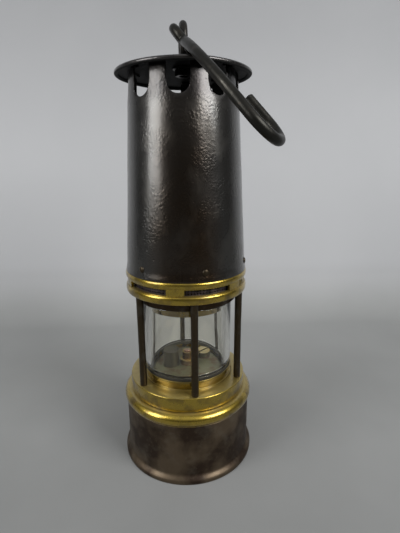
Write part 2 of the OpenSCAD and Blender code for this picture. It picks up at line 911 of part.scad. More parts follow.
// Cap
module cap() {
    steps = 12;
    roll_z = z_cap - cap_roll_r;
    color("darkslategray")
        difference() {
            union() {
                turned([
                    for (i = [0 : steps]) [cap_edge_r * i / steps, cap_top(cap_edge_r * i / steps)],
                    for (i = [steps : -1 : 0]) [cap_edge_r * i / steps, cap_top(cap_edge_r * i / steps) - cap_t]
                ]);
                rotate_extrude()
                    translate([cap_edge_r, roll_z])
                        circle(r = cap_roll_r, $fn = fine);
            }
            bar(stem_r + running_gap, z_cap, z_cap + cap_rise + overshoot);
        }
}

// Swivel
z_washer_top = cap_top(swivel_washer_r) - cap_t - fit_gap;
z_nut_top = z_washer_top - swivel_washer_t - fit_gap;

module swivel_washer() {
    color("gray")
        ring(swivel_washer_r, stem_r + running_gap, z_washer_top - swivel_washer_t, z_washer_top);
}

module swivel_nut() {
    color("gray")
        difference() {
            translate([0, 0, z_nut_top - nut_h])
                cylinder(r = nut_r, h = nut_h, $fn = 6);
            bar(stem_r + running_gap / 2, z_nut_top - nut_h - overshoot, z_nut_top + overshoot);
        }
}

module swivel() {
    neck_top = z_eye - eye_r;
    color("gray") {
        bar(stem_r, z_nut_top - nut_h - overshoot, z_swivel + swivel_collar_h / 2);
        bar(swivel_neck_r, z_swivel, neck_top);
        bar(swivel_collar_r, z_swivel, z_swivel + swivel_collar_h);
        translate([0, 0, z_eye])
            rotate([0, 0, eye_bearing])
                rotate([0, 90, 0])
                    rotate_extrude()
                        translate([eye_r, 0])
                            circle(r = swivel_wire / 2, $fn = 48);
    }
}

// Hook: one bent rod, drawn with its shank along +X from the eye's middle and its bend towards +Y
rod_r = hook_wire / 2;
rod_sides = 16;
eye_steps = 30;
turn_steps = 5;
bow_steps = 9;
bend_steps = 18;

// The eye's open end stops short of the turn, which is the arc between eye and shank
turn_x = sqrt(eye_r * eye_r + 2 * eye_r * turn_r);
turn_angle = asin(turn_x / (eye_r + turn_r));
eye_out = eye_r + rod_r;
eye_stop = turn_r + rod_r + free_gap;
eye_span = (eye_out * eye_out + pow(eye_r + turn_r, 2) - eye_stop * eye_stop) / (2 * eye_out * (eye_r + turn_r));
eye_start = acos(eye_span) - 90 + turn_angle;
eye_full = eye_start + rod_edge / eye_r * 180 / PI;
eye_last = 270 + turn_angle;

// Directions along, into and beside the bend where it starts, and along and into it where it ends
bow_r = shank_length / (shank_bow * PI / 180);
bow_end = [turn_x + bow_r * sin(shank_bow), bow_r * (1 - cos(shank_bow)), 0];
bend_along = [cos(shank_bow), sin(shank_bow), 0];
bend_in = [-sin(shank_bow) * cos(bend_twist), cos(shank_bow) * cos(bend_twist), sin(bend_twist)];
bend_side = cross(bend_along, bend_in);
bend_end = bow_end + bend_r * (sin(bend_angle) * bend_along + (1 - cos(bend_angle)) * bend_in);
tail_along = cos(bend_angle) * bend_along + sin(bend_angle) * bend_in;
tail_in = cos(bend_angle) * bend_in - sin(bend_angle) * bend_along;

// A station of the rod is a point, two directions across the rod and the rod's radius there
function flat_station(point, across, twist, r) =
    [point, cos(twist) * across + [0, 0, sin(twist)], [0, 0, cos(twist)] - sin(twist) * across, r];
function eye_station(a, r) = flat_station(eye_r * [cos(a), sin(a), 0], [-cos(a), -sin(a), 0], 0, r);
stations = [
    eye_station(eye_start, rod_r - rod_edge),
    for (i = [0 : eye_steps])
        eye_station(eye_full + (eye_last - eye_full) * i / eye_steps, rod_r),
    for (i = [1 : turn_steps])
        let (a = 90 + turn_angle * (1 - i / turn_steps))
            flat_station([turn_x + turn_r * cos(a), turn_r * (sin(a) - 1), 0], [cos(a), sin(a), 0], 0, rod_r),
    for (i = [1 : bow_steps])
        let (q = shank_bow * i / bow_steps)
            flat_station([turn_x + bow_r * sin(q), bow_r * (1 - cos(q)), 0], [-sin(q), cos(q), 0],
                bend_twist * i / bow_steps, rod_r),
    for (i = [1 : bend_steps])
        let (q = bend_angle * i / bend_steps)
            [bow_end + bend_r * (sin(q) * bend_along + (1 - cos(q)) * bend_in),
                cos(q) * bend_in - sin(q) * bend_along, bend_side, rod_r],
    [bend_end + (tail_length - rod_edge) * tail_along, tail_in, bend_side, rod_r],
    [bend_end + tail_length * tail_along, tail_in, bend_side, rod_r - rod_edge]
];

module rod(list) {
    last = len(list) - 1;
    polyhedron(
        points = [
            for (s = list)
                for (k = [0 : rod_sides - 1])
                    let (a = 360 * k / rod_sides)
                        s[0] + s[3] * (cos(a) * s[1] + sin(a) * s[2])
        ],
        faces = [
            [for (k = [0 : rod_sides - 1]) k],
            for (i = [0 : last - 1])
                for (k = [0 : rod_sides - 1])
                    let (low = i * rod_sides, high = low + rod_sides, next = (k + 1) % rod_sides)
                        [low + k, high + k, high + next, low + next],
            [for (k = [rod_sides - 1 : -1 : 0]) last * rod_sides + k]
        ]
    );
}

module hook() {
    color("darkslategray")
        translate([hook_x, hook_y, hook_z])
            rotate([0, 0, hook_bearing - 90])
                rotate([0, hook_dip, 0])
                    rotate([hook_roll - 90, 0, 0])
                        rod(stations);
}

vessel_shell();
vessel_bottom();
vessel_collar();
burner_deck();
cotton_wadding();
wick_tube();
wick();
wick_carrier();
wick_spindle();
wick_knob();
relighter_housing();
striker_tube();
striker_spindle();
striker_knob();
filler_plug();
filler_washer();
vessel_gasket();
lower_ring();
seat_ring();
lower_gasket();
glass();
upper_gasket();
gauze_ring();
gauze_flange();
inner_gauze();
outer_gauze();
pillar(1);  // pillar_1
pillar(2);  // pillar_2
pillar(3);  // pillar_3
pillar(4);  // pillar_4
pillar(5);  // pillar_5
pillar(6);  // pillar_6
upper_ring();
inlet_ring();
bonnet();
bonnet_rivets();
cap();
swivel_washer();
swivel_nut();
swivel();
hook();
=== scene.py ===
"""Dresses the packed solids of a miner's safety lamp in aged steel, brass, iron, glass and gauze."""

from math import acos, asin, cos, degrees, pi, radians, sin, sqrt

import bmesh
import bpy
from bpy.props import FloatProperty, FloatVectorProperty, IntProperty, PointerProperty
from bpy.types import Operator, Panel, PropertyGroup
from mathutils import Matrix, Vector, noise


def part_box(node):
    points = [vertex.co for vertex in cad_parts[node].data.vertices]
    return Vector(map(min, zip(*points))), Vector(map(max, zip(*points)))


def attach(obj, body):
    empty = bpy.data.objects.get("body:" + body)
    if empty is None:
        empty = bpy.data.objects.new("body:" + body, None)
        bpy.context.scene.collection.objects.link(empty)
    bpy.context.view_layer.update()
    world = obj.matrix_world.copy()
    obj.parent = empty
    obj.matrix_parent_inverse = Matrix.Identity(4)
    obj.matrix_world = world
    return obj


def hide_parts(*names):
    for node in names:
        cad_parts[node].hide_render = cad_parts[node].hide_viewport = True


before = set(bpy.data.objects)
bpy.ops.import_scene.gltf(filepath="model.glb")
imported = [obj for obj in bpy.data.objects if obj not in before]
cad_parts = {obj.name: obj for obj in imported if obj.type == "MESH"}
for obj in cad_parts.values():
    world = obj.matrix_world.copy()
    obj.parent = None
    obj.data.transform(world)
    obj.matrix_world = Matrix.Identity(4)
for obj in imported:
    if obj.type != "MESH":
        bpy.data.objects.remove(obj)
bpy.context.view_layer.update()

bl_info = {
    "name": "Miner's safety lamp",
    "version": (1, 0, 0),
    "blender": (4, 5, 0),
    "location": "View3D > Sidebar > Lamp",
    "description": "Dresses the solids of a miner's safety lamp and lights it in a plain studio",
    "category": "Add Mesh",
}

MM = 0.001
TOUCHING = 0.001 * MM
SIDES = 180
SMALL_SIDES = 32
CREASE = radians(35)


def linear(colour):
    """An sRGB hex colour as linear RGBA."""
    shares = [int(colour[i:i + 2], 16) / 255 for i in (1, 3, 5)]
    return tuple(s / 12.92 if s <= 0.04045 else ((s + 0.055) / 1.055) ** 2.4 for s in shares) + (1.0,)


def length(name, description, mm, low=0.0):
    """A size property that is shown in the scene's length unit."""
    return FloatProperty(name=name, description=description, default=mm * MM, min=low * MM, unit="LENGTH")


def angle(name, description, degrees_default):
    """An angle property."""
    return FloatProperty(name=name, description=description, default=radians(degrees_default), unit="ROTATION")


def hue(name, description, colour):
    """A colour property, from an sRGB hex value."""
    return FloatVectorProperty(
        name=name, description=description, default=linear(colour), size=4, min=0.0, max=1.0, subtype="COLOR"
    )


def levels(node):
    """Lowest and highest level of a CAD node."""
    low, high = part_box(node)
    return low.z, high.z


def reach(node):
    """Outer radius of a CAD node that was turned about the lamp's axis."""
    low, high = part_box(node)
    return (high.x - low.x) / 2


class VesselSizes(PropertyGroup):
    """Sizes of the fuel vessel and its collar."""

    sheet: length("Sheet", "Sheet thickness of the shell", 1.2)
    shell_radius: length("Shell radius", "Outer radius of the shell above its foot", 41.8)
    foot_height: length("Foot height", "Height over which the foot flares", 6.0)
    neck_radius: length("Neck radius", "Radius of the neck that the cage screws onto", 34.5)
    neck_wall: length("Neck wall", "Wall of the neck", 3.5)
    bead_height: length("Bead height", "Height of the collar's bead", 7.6)
    bead_round: length("Bead round", "Radius of the bead's round section", 4.2)
    knocks: length("Knocks", "Depth of the shallow dents in the sheet", 0.12)


class CageSizes(PropertyGroup):
    """Sizes of the cage's rings, pillars and glass."""

    edge: length("Edge", "Rounding of the turned rings' edges", 0.7)
    plate: length("Plate", "Thickness of the lower ring's top plate", 3.1)
    seat_lip: length("Seat lip", "Width of the seat ring's lip under the plate", 0.8)
    groove_height: length("Groove height", "Height of the groove at the seat ring's foot", 3.1)
    groove_depth: length("Groove depth", "Depth of that groove", 1.3)
    pillar_count: IntProperty(name="Pillars", description="Number of pillars", default=6, min=1)
    pillar_waist: length("Pillar waist", "How much thinner a pillar is at its middle", 0.1)
    glass_wall: length("Glass wall", "Wall of the glass", 5.0)
    glass_edge: length("Glass edge", "Rounding of the glass's ends", 0.9)
    gauze_ring_wall: length("Gauze ring wall", "Wall of the golden ring inside the glass", 1.5)
    gasket_wall: length("Gasket wall", "Width of the gaskets at the glass", 5.0)
    vessel_gasket_wall: length("Vessel gasket wall", "Width of the gasket on the vessel's neck", 2.9)
    washer_bore: length("Washer bore", "Bore radius of the filler plug's washer", 3.25)
    gauze_taper: length("Gauze taper", "How much a gauze's radius shrinks over its height", 4.6)
    gauze_sheet: length("Gauze sheet", "Thickness of a gauze", 0.6)


class AirRingSizes(PropertyGroup):
    """Sizes of the upper ring and the perforated inlet behind its slots."""

    plate_height: length("Plate height", "Height of the lower bead", 4.8)
    band_height: length("Band height", "Height of the slotted band", 4.6)
    band_radius: length("Band radius", "Outer radius of the slotted band", 37.6)
    band_wall: length("Band wall", "Wall of the slotted band", 1.6)
    bead_height: length("Bead height", "Height of the upper bead", 3.7)
    spigot_radius: length("Spigot radius", "Radius of the spigot inside the bonnet", 35.87)
    spigot_wall: length("Spigot wall", "Wall of the spigot", 1.0)
    slot_height: length("Slot height", "Height of an air slot", 3.8)
    slot_sill: length("Slot sill", "Height of the slots' sills above the lower bead", 0.4)
    slot_angle: angle("Slot angle", "Angle that a slot spans", 44)
    slot_bearing: angle("Slot bearing", "Bearing of the middle of one slot", 20)
    slot_count: IntProperty(name="Slots", description="Number of slots", default=6, min=1)
    hole_count: IntProperty(name="Holes", description="Holes round the inlet", default=120, min=12)
    hole_rows: IntProperty(name="Hole rows", description="Rows of holes in the inlet", default=7, min=1)
    inlet_sheet: length("Inlet sheet", "Sheet thickness of the inlet", 0.8)


class BonnetSizes(PropertyGroup):
    """Sizes of the bonnet, its openings and its rivets."""

    foot_radius: length("Foot radius", "Radius at the foot, before the flare", 37.44)
    top_radius: length("Top radius", "Radius at the top", 31.24)
    height: length("Height", "Height of the sheet, without the lips", 113.7)
    sheet: length("Sheet", "Sheet thickness", 1.0)
    flare: length("Flare", "How far the foot flares out", 0.5)
    flare_height: length("Flare height", "Height of the flared stretch", 5.0)
    opening_count: IntProperty(name="Openings", description="Openings round the top", default=9, min=1)
    opening_bearing: angle("Opening bearing", "Bearing of the middle of one opening", -5)
    opening_width: length("Opening width", "Width of an opening", 12.3)
    opening_depth: length("Opening depth", "Depth of an opening below the top", 16.0)
    lip: length("Lip", "Width of the lip that each tab turns in under the cap", 3.4)
    fold: length("Fold", "Radius of the fold between tab and lip", 1.4)
    knocks: length("Knocks", "Depth of the shallow dents in the sheet", 0.28)
    rivet_count: IntProperty(name="Rivets", description="Number of rivets", default=6, min=1)
    rivet_bearing: angle("Rivet bearing", "Bearing of the first rivet", 17)
    rivet_up: length("Rivet height", "Height of the rivets above the foot", 5.3)
    rivet_radius: length("Rivet radius", "Radius of a rivet's head", 2.0)
    rivet_head: length("Rivet head", "Height of a rivet's head", 0.9)


class CapSizes(PropertyGroup):
    """Sizes of the cap."""

    sheet: length("Sheet", "Sheet thickness", 1.0)
    rise: length("Rise", "How much higher the middle is than the rim", 4.0)
    roll: length("Roll", "Radius of the rolled rim", 1.2)
    knocks: length("Knocks", "Depth of the shallow dents in the rim", 0.3)


class HookSizes(PropertyGroup):
    """Sizes of the swivel and the hook."""

    eye_radius: length("Eye radius", "Mean radius of both eyes", 8.0)
    eye_up: length("Eye height", "Height of the swivel eye's middle above the cap", 12.05)
    eye_bearing: angle("Eye bearing", "Bearing of the plane of the swivel's eye", 4.4)
    swivel_wire: length("Swivel wire", "Wire diameter of the swivel's eye", 4.2)
    neck_radius: length("Neck radius", "Radius of the swivel's neck", 2.3)
    collar_radius: length("Collar radius", "Radius of the swivel's collar", 4.5)
    collar_height: length("Collar height", "Height of the swivel's collar", 1.8)
    rod: length("Rod", "Diameter of the hook's rod", 5.0)
    bearing: angle("Bearing", "Bearing of the hook's shank", 3)
    dip: angle("Dip", "Dip of the shank below level at the eye", 15.5)
    roll: angle("Roll", "Roll of the hook about its shank", 42.7)
    link_dip: angle("Link dip", "How far the eyes' middles hang below each other", 16.8)
    turn_radius: length("Turn radius", "Radius of the short turn between eye and shank", 4.0)
    bow: angle("Bow", "Angle through which the shank bows", 56.5)
    shank: length("Shank", "Length of the bowed shank", 75.9)
    twist: angle("Twist", "Twist between the shank's bow and the bend", 12.5)
    bend_radius: length("Bend radius", "Radius of the bend", 12.6)
    bend: angle("Bend", "Angle of the bend", 186)
    tail: length("Tail", "Length of the straight end", 14.0)
    gap: length("Gap", "Gap between the eye's open end and the turn", 0.3)


class Finishes(PropertyGroup):
    """Colours of the lamp's metals and of its other materials, and the paper's tones, which carry painted light and
    shade.
    """

    vessel_steel: hue("Vessel steel", "Aged steel of the fuel vessel", "#5b4e3e")
    vessel_stain: hue("Vessel stain", "Brown stains on the vessel", "#30241a")
    bonnet_steel: hue("Bonnet steel", "Blackened sheet of bonnet and cap", "#4f4e4c")
    # Laid only on the side of the bonnet that faces the camera.
    camera_side_brown: hue("Heat stain", "Brown that heat left on the bonnet", "#33230f")
    scuff: hue("Scuff", "Bare metal where the surface is rubbed", "#857f72")
    brass: hue("Brass", "Turned brass of the rings", "#b3982c")
    brass_stain: hue("Brass stain", "Olive tarnish on the brass", "#6f5c22")
    gold_brass: hue("Gold brass", "Warmer brass beside the glass", "#86701f")
    red_brass: hue("Red brass", "Brass tube of the wick", "#6a5131")
    iron: hue("Iron", "Forged iron of pillars and hook", "#382f21")
    tin: hue("Tinplate", "Dull tinplate of the burner deck", "#64654f")
    inlet: hue("Inlet", "Perforated sheet behind the slots", "#4d4449")
    # The paper's tones carry painted light and shade: darker where it lies and darkest in front of the lamp, lighter
    # where it stands, darker towards the top of the wall.
    paper_front: hue("Paper in front", "Studio paper where it lies in front of the lamp", "#7c7d7c")
    paper: hue("Paper", "Studio paper where it lies behind the lamp", "#979897")
    wall: hue("Wall", "Studio paper where it stands behind the lamp", "#bfc0c2")
    wall_top_shade: hue("Wall top", "Studio paper above the lamp", "#a5a6a8")


class StudioSizes(PropertyGroup):
    """Place and lens of the camera, and the place and size of the paper."""

    camera_back: length("Camera back", "Distance of the camera in front of the lamp", 236.5)
    camera_up: length("Camera up", "Height of the camera above the table", 192.6)
    camera_yaw: angle("Camera yaw", "Turn of the camera to the right", 2.17)
    camera_pitch: angle("Camera pitch", "Tilt of the camera below level", 15.03)
    camera_roll: angle("Camera roll", "Roll of the camera", -0.28)
    sensor: length("Sensor", "Size of the sensor along the picture's longer side", 36.0)
    lens: length("Lens", "Focal length", 25.54)
    paper_fold: length("Paper fold", "Distance behind the lamp at which the paper curves up", 197.0)
    paper_curve: length("Paper curve", "Radius of that curve", 55.0)
    paper_reach: length("Paper reach", "How far the paper reaches to each side", 1500.0)
    paper_front: length("Paper front", "How far the paper reaches in front of the lamp", 1200.0)
    paper_height: length("Paper height", "How high the paper stands behind the lamp", 1300.0)


def eased(outline, ease, steps=4):
    """Rounds the corners of a closed outline of (radius, height) points; a third value is a corner's own rounding."""
    points = [Vector(point[:2]) for point in outline]
    eases = [point[2] if len(point) > 2 else ease for point in outline]
    rounded = []
    for i, here in enumerate(points):
        back = points[i - 1] - here
        ahead = points[(i + 1) % len(points)] - here
        if here.x < TOUCHING or eases[i] < TOUCHING or back.angle(ahead, pi) > pi - CREASE / 2:
            rounded.append(here)
            continue
        cut = min(eases[i], back.length * 0.45, ahead.length * 0.45)
        start = here + back.normalized() * cut
        end = here + ahead.normalized() * cut
        for step in range(steps + 1):
            share = step / steps
            rounded.append(start.lerp(here, share).lerp(here.lerp(end, share), share))
    return rounded


def arc(middle_r, middle_z, radius, first, last, steps):
    """Points of (radius, height) along an arc, from one angle to another in degrees."""
    turns = [radians(first + (last - first) * i / steps) for i in range(steps + 1)]
    return [(middle_r + radius * cos(turn), middle_z + radius * sin(turn)) for turn in turns]


def at_bearing(bearing, radius, height):
    """The point at a bearing from the camera side, a radius and a height."""
    return Vector((radius * sin(bearing), -radius * cos(bearing), height))


def finished(name, shape, crease=CREASE, mend=True):
    """Turns a bmesh into a smooth-shaded mesh with creases."""
    if mend:
        bmesh.ops.recalc_face_normals(shape, faces=shape.faces)
    mesh = bpy.data.meshes.new(name)
    shape.to_mesh(mesh)
    shape.free()
    mesh.shade_smooth()
    mesh.set_sharp_from_angle(angle=crease)
    return mesh


def turned(name, outline, places=(Matrix(),), sides=SIDES):
    """Turns a closed outline of (radius, height) points about an axis, once at each place."""
    shape = bmesh.new()
    around = [2 * pi * i / sides for i in range(sides)]
    for place in places:
        rings = []
        for radius, height in outline:
            bearings = around if radius > TOUCHING else [0.0]
            rings.append([shape.verts.new(place @ at_bearing(b, radius, height)) for b in bearings])
        for lower, upper in zip(rings, rings[1:] + rings[:1]):
            for i in range(sides):
                corners = [lower[i % len(lower)], lower[(i + 1) % len(lower)]]
                corners += [upper[(i + 1) % len(upper)], upper[i % len(upper)]]
                corners = list(dict.fromkeys(corners))
                if len(corners) > 2:
                    shape.faces.new(corners)
    return finished(name, shape)


def swept(name, points, radius, cut_edge, sides=SMALL_SIDES):
    """A rod along a centreline, with chamfered cut ends and the slight unevenness of forging."""
    unevenness = 0.02
    wander = 9 * MM
    shape = bmesh.new()
    directions = [(b - a).normalized() for a, b in zip(points, points[1:])]
    directions.append(directions[-1])
    across = directions[0].orthogonal().normalized()
    first = points[0] - directions[0] * TOUCHING
    last = points[-1] + directions[-1] * TOUCHING
    stations = [(first, directions[0], radius - cut_edge)]
    stations += [(point, direction, radius) for point, direction in zip(points, directions)]
    stations[1] = (points[0] + directions[0] * cut_edge, directions[0], radius)
    stations[-1] = (points[-1] - directions[-1] * cut_edge, directions[-1], radius)
    stations.append((last, directions[-1], radius - cut_edge))
    rings = []
    for point, along, size in stations:
        across = (across - along * across.dot(along)).normalized()
        beside = along.cross(across)
        ring = []
        for i in range(sides):
            turn = 2 * pi * i / sides
            out = across * cos(turn) + beside * sin(turn)
            swell = 1 - unevenness * (1 + noise.noise((point + out * radius) / wander)) / 2
            ring.append(shape.verts.new(point + out * size * swell))
        rings.append(ring)
    for lower, upper in zip(rings, rings[1:]):
        for i in range(sides):
            j = (i + 1) % sides
            shape.faces.new((lower[i], lower[j], upper[j], upper[i]))
    shape.faces.new(rings[0][::-1])
    shape.faces.new(rings[-1])
    return finished(name, shape)


def knocked(mesh, depth, spacing, foot=None, fade=12 * MM):
    """Gives a mesh shallow dents, which fade out towards a level if one is given."""
    for vertex in mesh.vertices:
        share = 1.0 if foot is None else min(1.0, max(0.0, (vertex.co.z - foot) / fade))
        vertex.co += noise.noise_vector(vertex.co / spacing) * depth * share
    return mesh


def piece(name, mesh, material, body, slot, *nodes):
    """Links a mesh as a piece that rides on a body and stands for CAD nodes."""
    made = bpy.data.objects.new(name, mesh)
    bpy.context.scene.collection.objects.link(made)
    made.data.materials.append(material)
    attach(made, body)
    if nodes:
        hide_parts(*nodes)
    return made


def dress(material, *names):
    """Gives CAD nodes that stay in view a material of their own."""
    for name in names:
        for material_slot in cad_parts[name].material_slots:
            material_slot.material = material


def settled(piece_with_modifiers):
    """Applies a piece's modifiers to its mesh."""
    seen = piece_with_modifiers.evaluated_get(bpy.context.evaluated_depsgraph_get())
    mesh = bpy.data.meshes.new_from_object(seen)
    piece_with_modifiers.modifiers.clear()
    mesh.shade_smooth()
    mesh.set_sharp_from_angle(angle=CREASE)
    piece_with_modifiers.data = mesh
    return piece_with_modifiers


def thicken(made, thickness, edge):
    """Gives an open sheet its thickness inwards and breaks its cut edges."""
    solid = made.modifiers.new("thickness", "SOLIDIFY")
    solid.thickness = thickness
    solid.offset = -1.0
    solid.use_even_offset = True
    bevel = made.modifiers.new("edges", "BEVEL")
    bevel.width = edge
    bevel.segments = 2
    bevel.angle_limit = radians(50)
    return settled(made)


def per(mm):
    """Texture scale at which a feature is that many millimetres wide."""
    return 1 / (mm * MM)


def add_node(tree, kind, inputs=None, stops=None, **settings):
    """Adds a node, sets its options and colour stops, and links or sets its inputs."""
    made = tree.nodes.new(kind)
    for option, value in settings.items():
        setattr(made, option, value)
    for key, value in (inputs or {}).items():
        if isinstance(value, bpy.types.NodeSocket):
            tree.links.new(value, made.inputs[key])
        else:
            made.inputs[key].default_value = value
    if stops:
        while len(made.color_ramp.elements) < len(stops):
            made.color_ramp.elements.new(1.0)
        for element, (position, colour) in zip(made.color_ramp.elements, stops):
            element.position = position
            element.color = colour
    return made


BLACK = (0.0, 0.0, 0.0, 1.0)
WHITE = (1.0, 1.0, 1.0, 1.0)


def start_material(name):
    """A new material with an empty node tree, and its object coordinates."""
    material = bpy.data.materials.new(name)
    material.use_nodes = True
    material.node_tree.nodes.clear()
    place = add_node(material.node_tree, "ShaderNodeTexCoord").outputs["Object"]
    return material, material.node_tree, place


def patches(tree, place, mm, low, high, detail=5.0, stretch=(1.0, 1.0, 1.0)):
    """A mask of soft patches: 0 below one share of the noise and 1 above another."""
    spread = add_node(tree, "ShaderNodeMapping", {"Vector": place, "Scale": stretch}).outputs[0]
    cloud = add_node(tree, "ShaderNodeTexNoise", {"Vector": spread, "Scale": per(mm), "Detail": detail})
    return add_node(
        tree, "ShaderNodeMapRange", {"Value": cloud.outputs["Fac"], "From Min": low, "From Max": high}
    ).outputs["Result"]


def blended(tree, share, first, second):
    """A colour between two, by a mask."""
    return add_node(tree, "ShaderNodeMix", {0: share, 6: first, 7: second}, data_type="RGBA").outputs[2]


def between(tree, share, low, high):
    """A number between two, by a mask."""
    return add_node(tree, "ShaderNodeMapRange", {"Value": share, "To Min": low, "To Max": high}).outputs["Result"]


def relief(tree, height, depth_mm, strength=1.0, under=None):
    """A bump of a real depth, on top of another if one is given."""
    inputs = {"Height": height, "Distance": depth_mm * MM, "Strength": strength}
    if under is not None:
        inputs["Normal"] = under
    return add_node(tree, "ShaderNodeBump", inputs).outputs["Normal"]


def level_mask(tree, place, low, high):
    """A mask that goes from 1 to 0 between two heights of the lamp."""
    height = add_node(tree, "ShaderNodeSeparateXYZ", {"Vector": place}).outputs["Z"]
    return add_node(
        tree,
        "ShaderNodeMapRange",
        {"Value": height, "From Min": low, "From Max": high, "To Min": 1.0, "To Max": 0.0},
        interpolation_type="SMOOTHSTEP",
    ).outputs["Result"]


def soot_and_shade_mask(tree, place):
    """A mask of the faces that look down or towards the lamp's axis: soot where they face the axis, soot and painted
    shade where they look down.
    """
    normal = add_node(tree, "ShaderNodeNewGeometry").outputs["Normal"]
    normal = add_node(
        tree, "ShaderNodeVectorTransform", {0: normal}, vector_type="NORMAL", convert_from="WORLD", convert_to="OBJECT"
    ).outputs[0]
    level = add_node(tree, "ShaderNodeVectorMath", {0: place, 1: (1.0, 1.0, 0.0)}, operation="MULTIPLY").outputs[0]
    outward = add_node(tree, "ShaderNodeVectorMath", {0: level}, operation="NORMALIZE").outputs[0]
    away = add_node(tree, "ShaderNodeVectorMath", {0: normal, 1: outward}, operation="DOT_PRODUCT").outputs["Value"]
    up = add_node(tree, "ShaderNodeSeparateXYZ", {"Vector": normal}).outputs["Z"]
    least = add_node(tree, "ShaderNodeMath", {0: away, 1: up}, operation="MINIMUM").outputs[0]
    return add_node(
        tree, "ShaderNodeMapRange", {"Value": least, "From Min": -0.25, "From Max": -0.6}
    ).outputs["Result"]


def finish_material(material, tree, shader):
    """Ends a material's tree with its output."""
    add_node(tree, "ShaderNodeOutputMaterial", {"Surface": shader.outputs[0]})
    return material


def drawn_steel(colours):
    """Deep-drawn steel sheet, browned with age: softly mottled, satin, and bare in patches where it is handled."""
    material, tree, place = start_material("drawn_steel")
    stains = patches(tree, place, 22, 0.42, 0.6)
    flecks = patches(tree, place, 2.2, 0.56, 0.7, detail=3.0)
    scuffs = patches(tree, place, 9, 0.52, 0.72)
    foot = level_mask(tree, place, 0.3 * MM, 1.2 * MM)
    colour = blended(tree, stains, colours.vessel_steel, colours.vessel_stain)
    colour = blended(tree, between(tree, flecks, 0.0, 0.25), colour, linear("#5d5242"))
    colour = blended(tree, between(tree, scuffs, 0.0, 0.16), colour, colours.scuff)
    colour = blended(tree, between(tree, foot, 0.0, 0.15), colour, colours.scuff)
    grain = patches(tree, place, 0.9, 0.2, 0.8, detail=2.0)
    return finish_material(material, tree, add_node(tree, "ShaderNodeBsdfPrincipled", {
        "Base Color": colour,
        "Metallic": 0.75,
        "Roughness": between(tree, stains, 0.4, 0.52),
        "Normal": relief(tree, grain, 0.05, 0.4, relief(tree, stains, 0.12, 0.3)),
    }))


def blackened_steel(colours):
    """Rolled steel sheet, blackened by lamp heat: satin, darker and browner on the side facing the camera, hammered in
    patches, black with soot inside, black with soot and painted shade on faces that look down, and darkened under the
    cap by smoke and painted shade.
    """
    material, tree, place = start_material("blackened_steel")
    # A darker brown is laid only on the side of the bonnet that faces the camera, in clouds, and only below the cap.
    front = add_node(tree, "ShaderNodeSeparateXYZ", {"Vector": place}).outputs["Y"]
    front = add_node(
        tree, "ShaderNodeMapRange", {"Value": front, "From Min": -35 * MM, "From Max": -29 * MM, "To Min": 1.0, "To Max": 0.0}
    ).outputs["Result"]
    cloud = patches(tree, place, 30, 0.35, 0.65, detail=4.0)
    heat = add_node(tree, "ShaderNodeMath", {0: front, 1: between(tree, cloud, 0.55, 1.0)}, operation="MULTIPLY").outputs[0]
    below = level_mask(tree, place, 236 * MM, 244 * MM)
    heat = add_node(tree, "ShaderNodeMath", {0: heat, 1: below}, operation="MULTIPLY").outputs[0]
    worn = patches(tree, place, 11, 0.52, 0.75, stretch=(1.0, 1.0, 0.6))
    pits = add_node(tree, "ShaderNodeTexVoronoi", {"Vector": place, "Scale": per(2.2)}).outputs["Distance"]
    pits = add_node(
        tree, "ShaderNodeMapRange", {"Value": pits, "From Min": 0.1, "From Max": 0.26, "To Min": 1.0, "To Max": 0.0}
    ).outputs["Result"]
    pits = add_node(
        tree, "ShaderNodeMath", {0: pits, 1: patches(tree, place, 10, 0.54, 0.64)}, operation="MULTIPLY"
    ).outputs[0]
    hammered = add_node(
        tree, "ShaderNodeMath", {0: patches(tree, place, 1.3, 0.35, 0.65, detail=2.0), 1: patches(tree, place, 15, 0.42, 0.56)},
        operation="MULTIPLY",
    ).outputs[0]
    soot = soot_and_shade_mask(tree, place)
    # Painted shade and smoke: above the openings, under the cap, the sheet turns darker.
    smoke_and_cap_shade = between(tree, level_mask(tree, place, 222 * MM, 231 * MM), 1.0, 0.0)
    colour = blended(tree, heat, colours.bonnet_steel, colours.camera_side_brown)
    colour = blended(tree, between(tree, smoke_and_cap_shade, 0.0, 0.55), colour, linear("#2f2c2e"))
    colour = blended(tree, between(tree, worn, 0.0, 0.3), colour, linear("#5f5b54"))
    colour = blended(tree, between(tree, pits, 0.0, 0.8), colour, linear("#1c1511"))
    # Near black on faces towards the axis (soot) and on faces that look down (soot and painted shade).
    colour = blended(tree, soot, colour, linear("#070706"))
    rough = add_node(
        tree, "ShaderNodeMath", {0: between(tree, worn, 0.27, 0.38), 1: between(tree, soot, 0.0, 0.45)}, operation="ADD"
    ).outputs[0]
    grain = patches(tree, place, 0.8, 0.2, 0.8, detail=2.0)
    normal = relief(tree, cloud, 0.2, 0.4)
    normal = relief(tree, grain, 0.03, 0.4, normal)
    normal = relief(tree, hammered, 0.12, 0.6, normal)
    normal = relief(tree, between(tree, pits, 1.0, 0.0), 0.1, 0.8, normal)
    return finish_material(material, tree, add_node(tree, "ShaderNodeBsdfPrincipled", {
        "Base Color": colour,
        "Metallic": between(tree, soot, 0.95, 0.0),
        "Roughness": rough,
        "Specular IOR Level": 0.25,
        "Coat Weight": between(tree, soot, 0.5, 0.0),
        "Coat Roughness": 0.2,
        "Normal": normal,
    }))


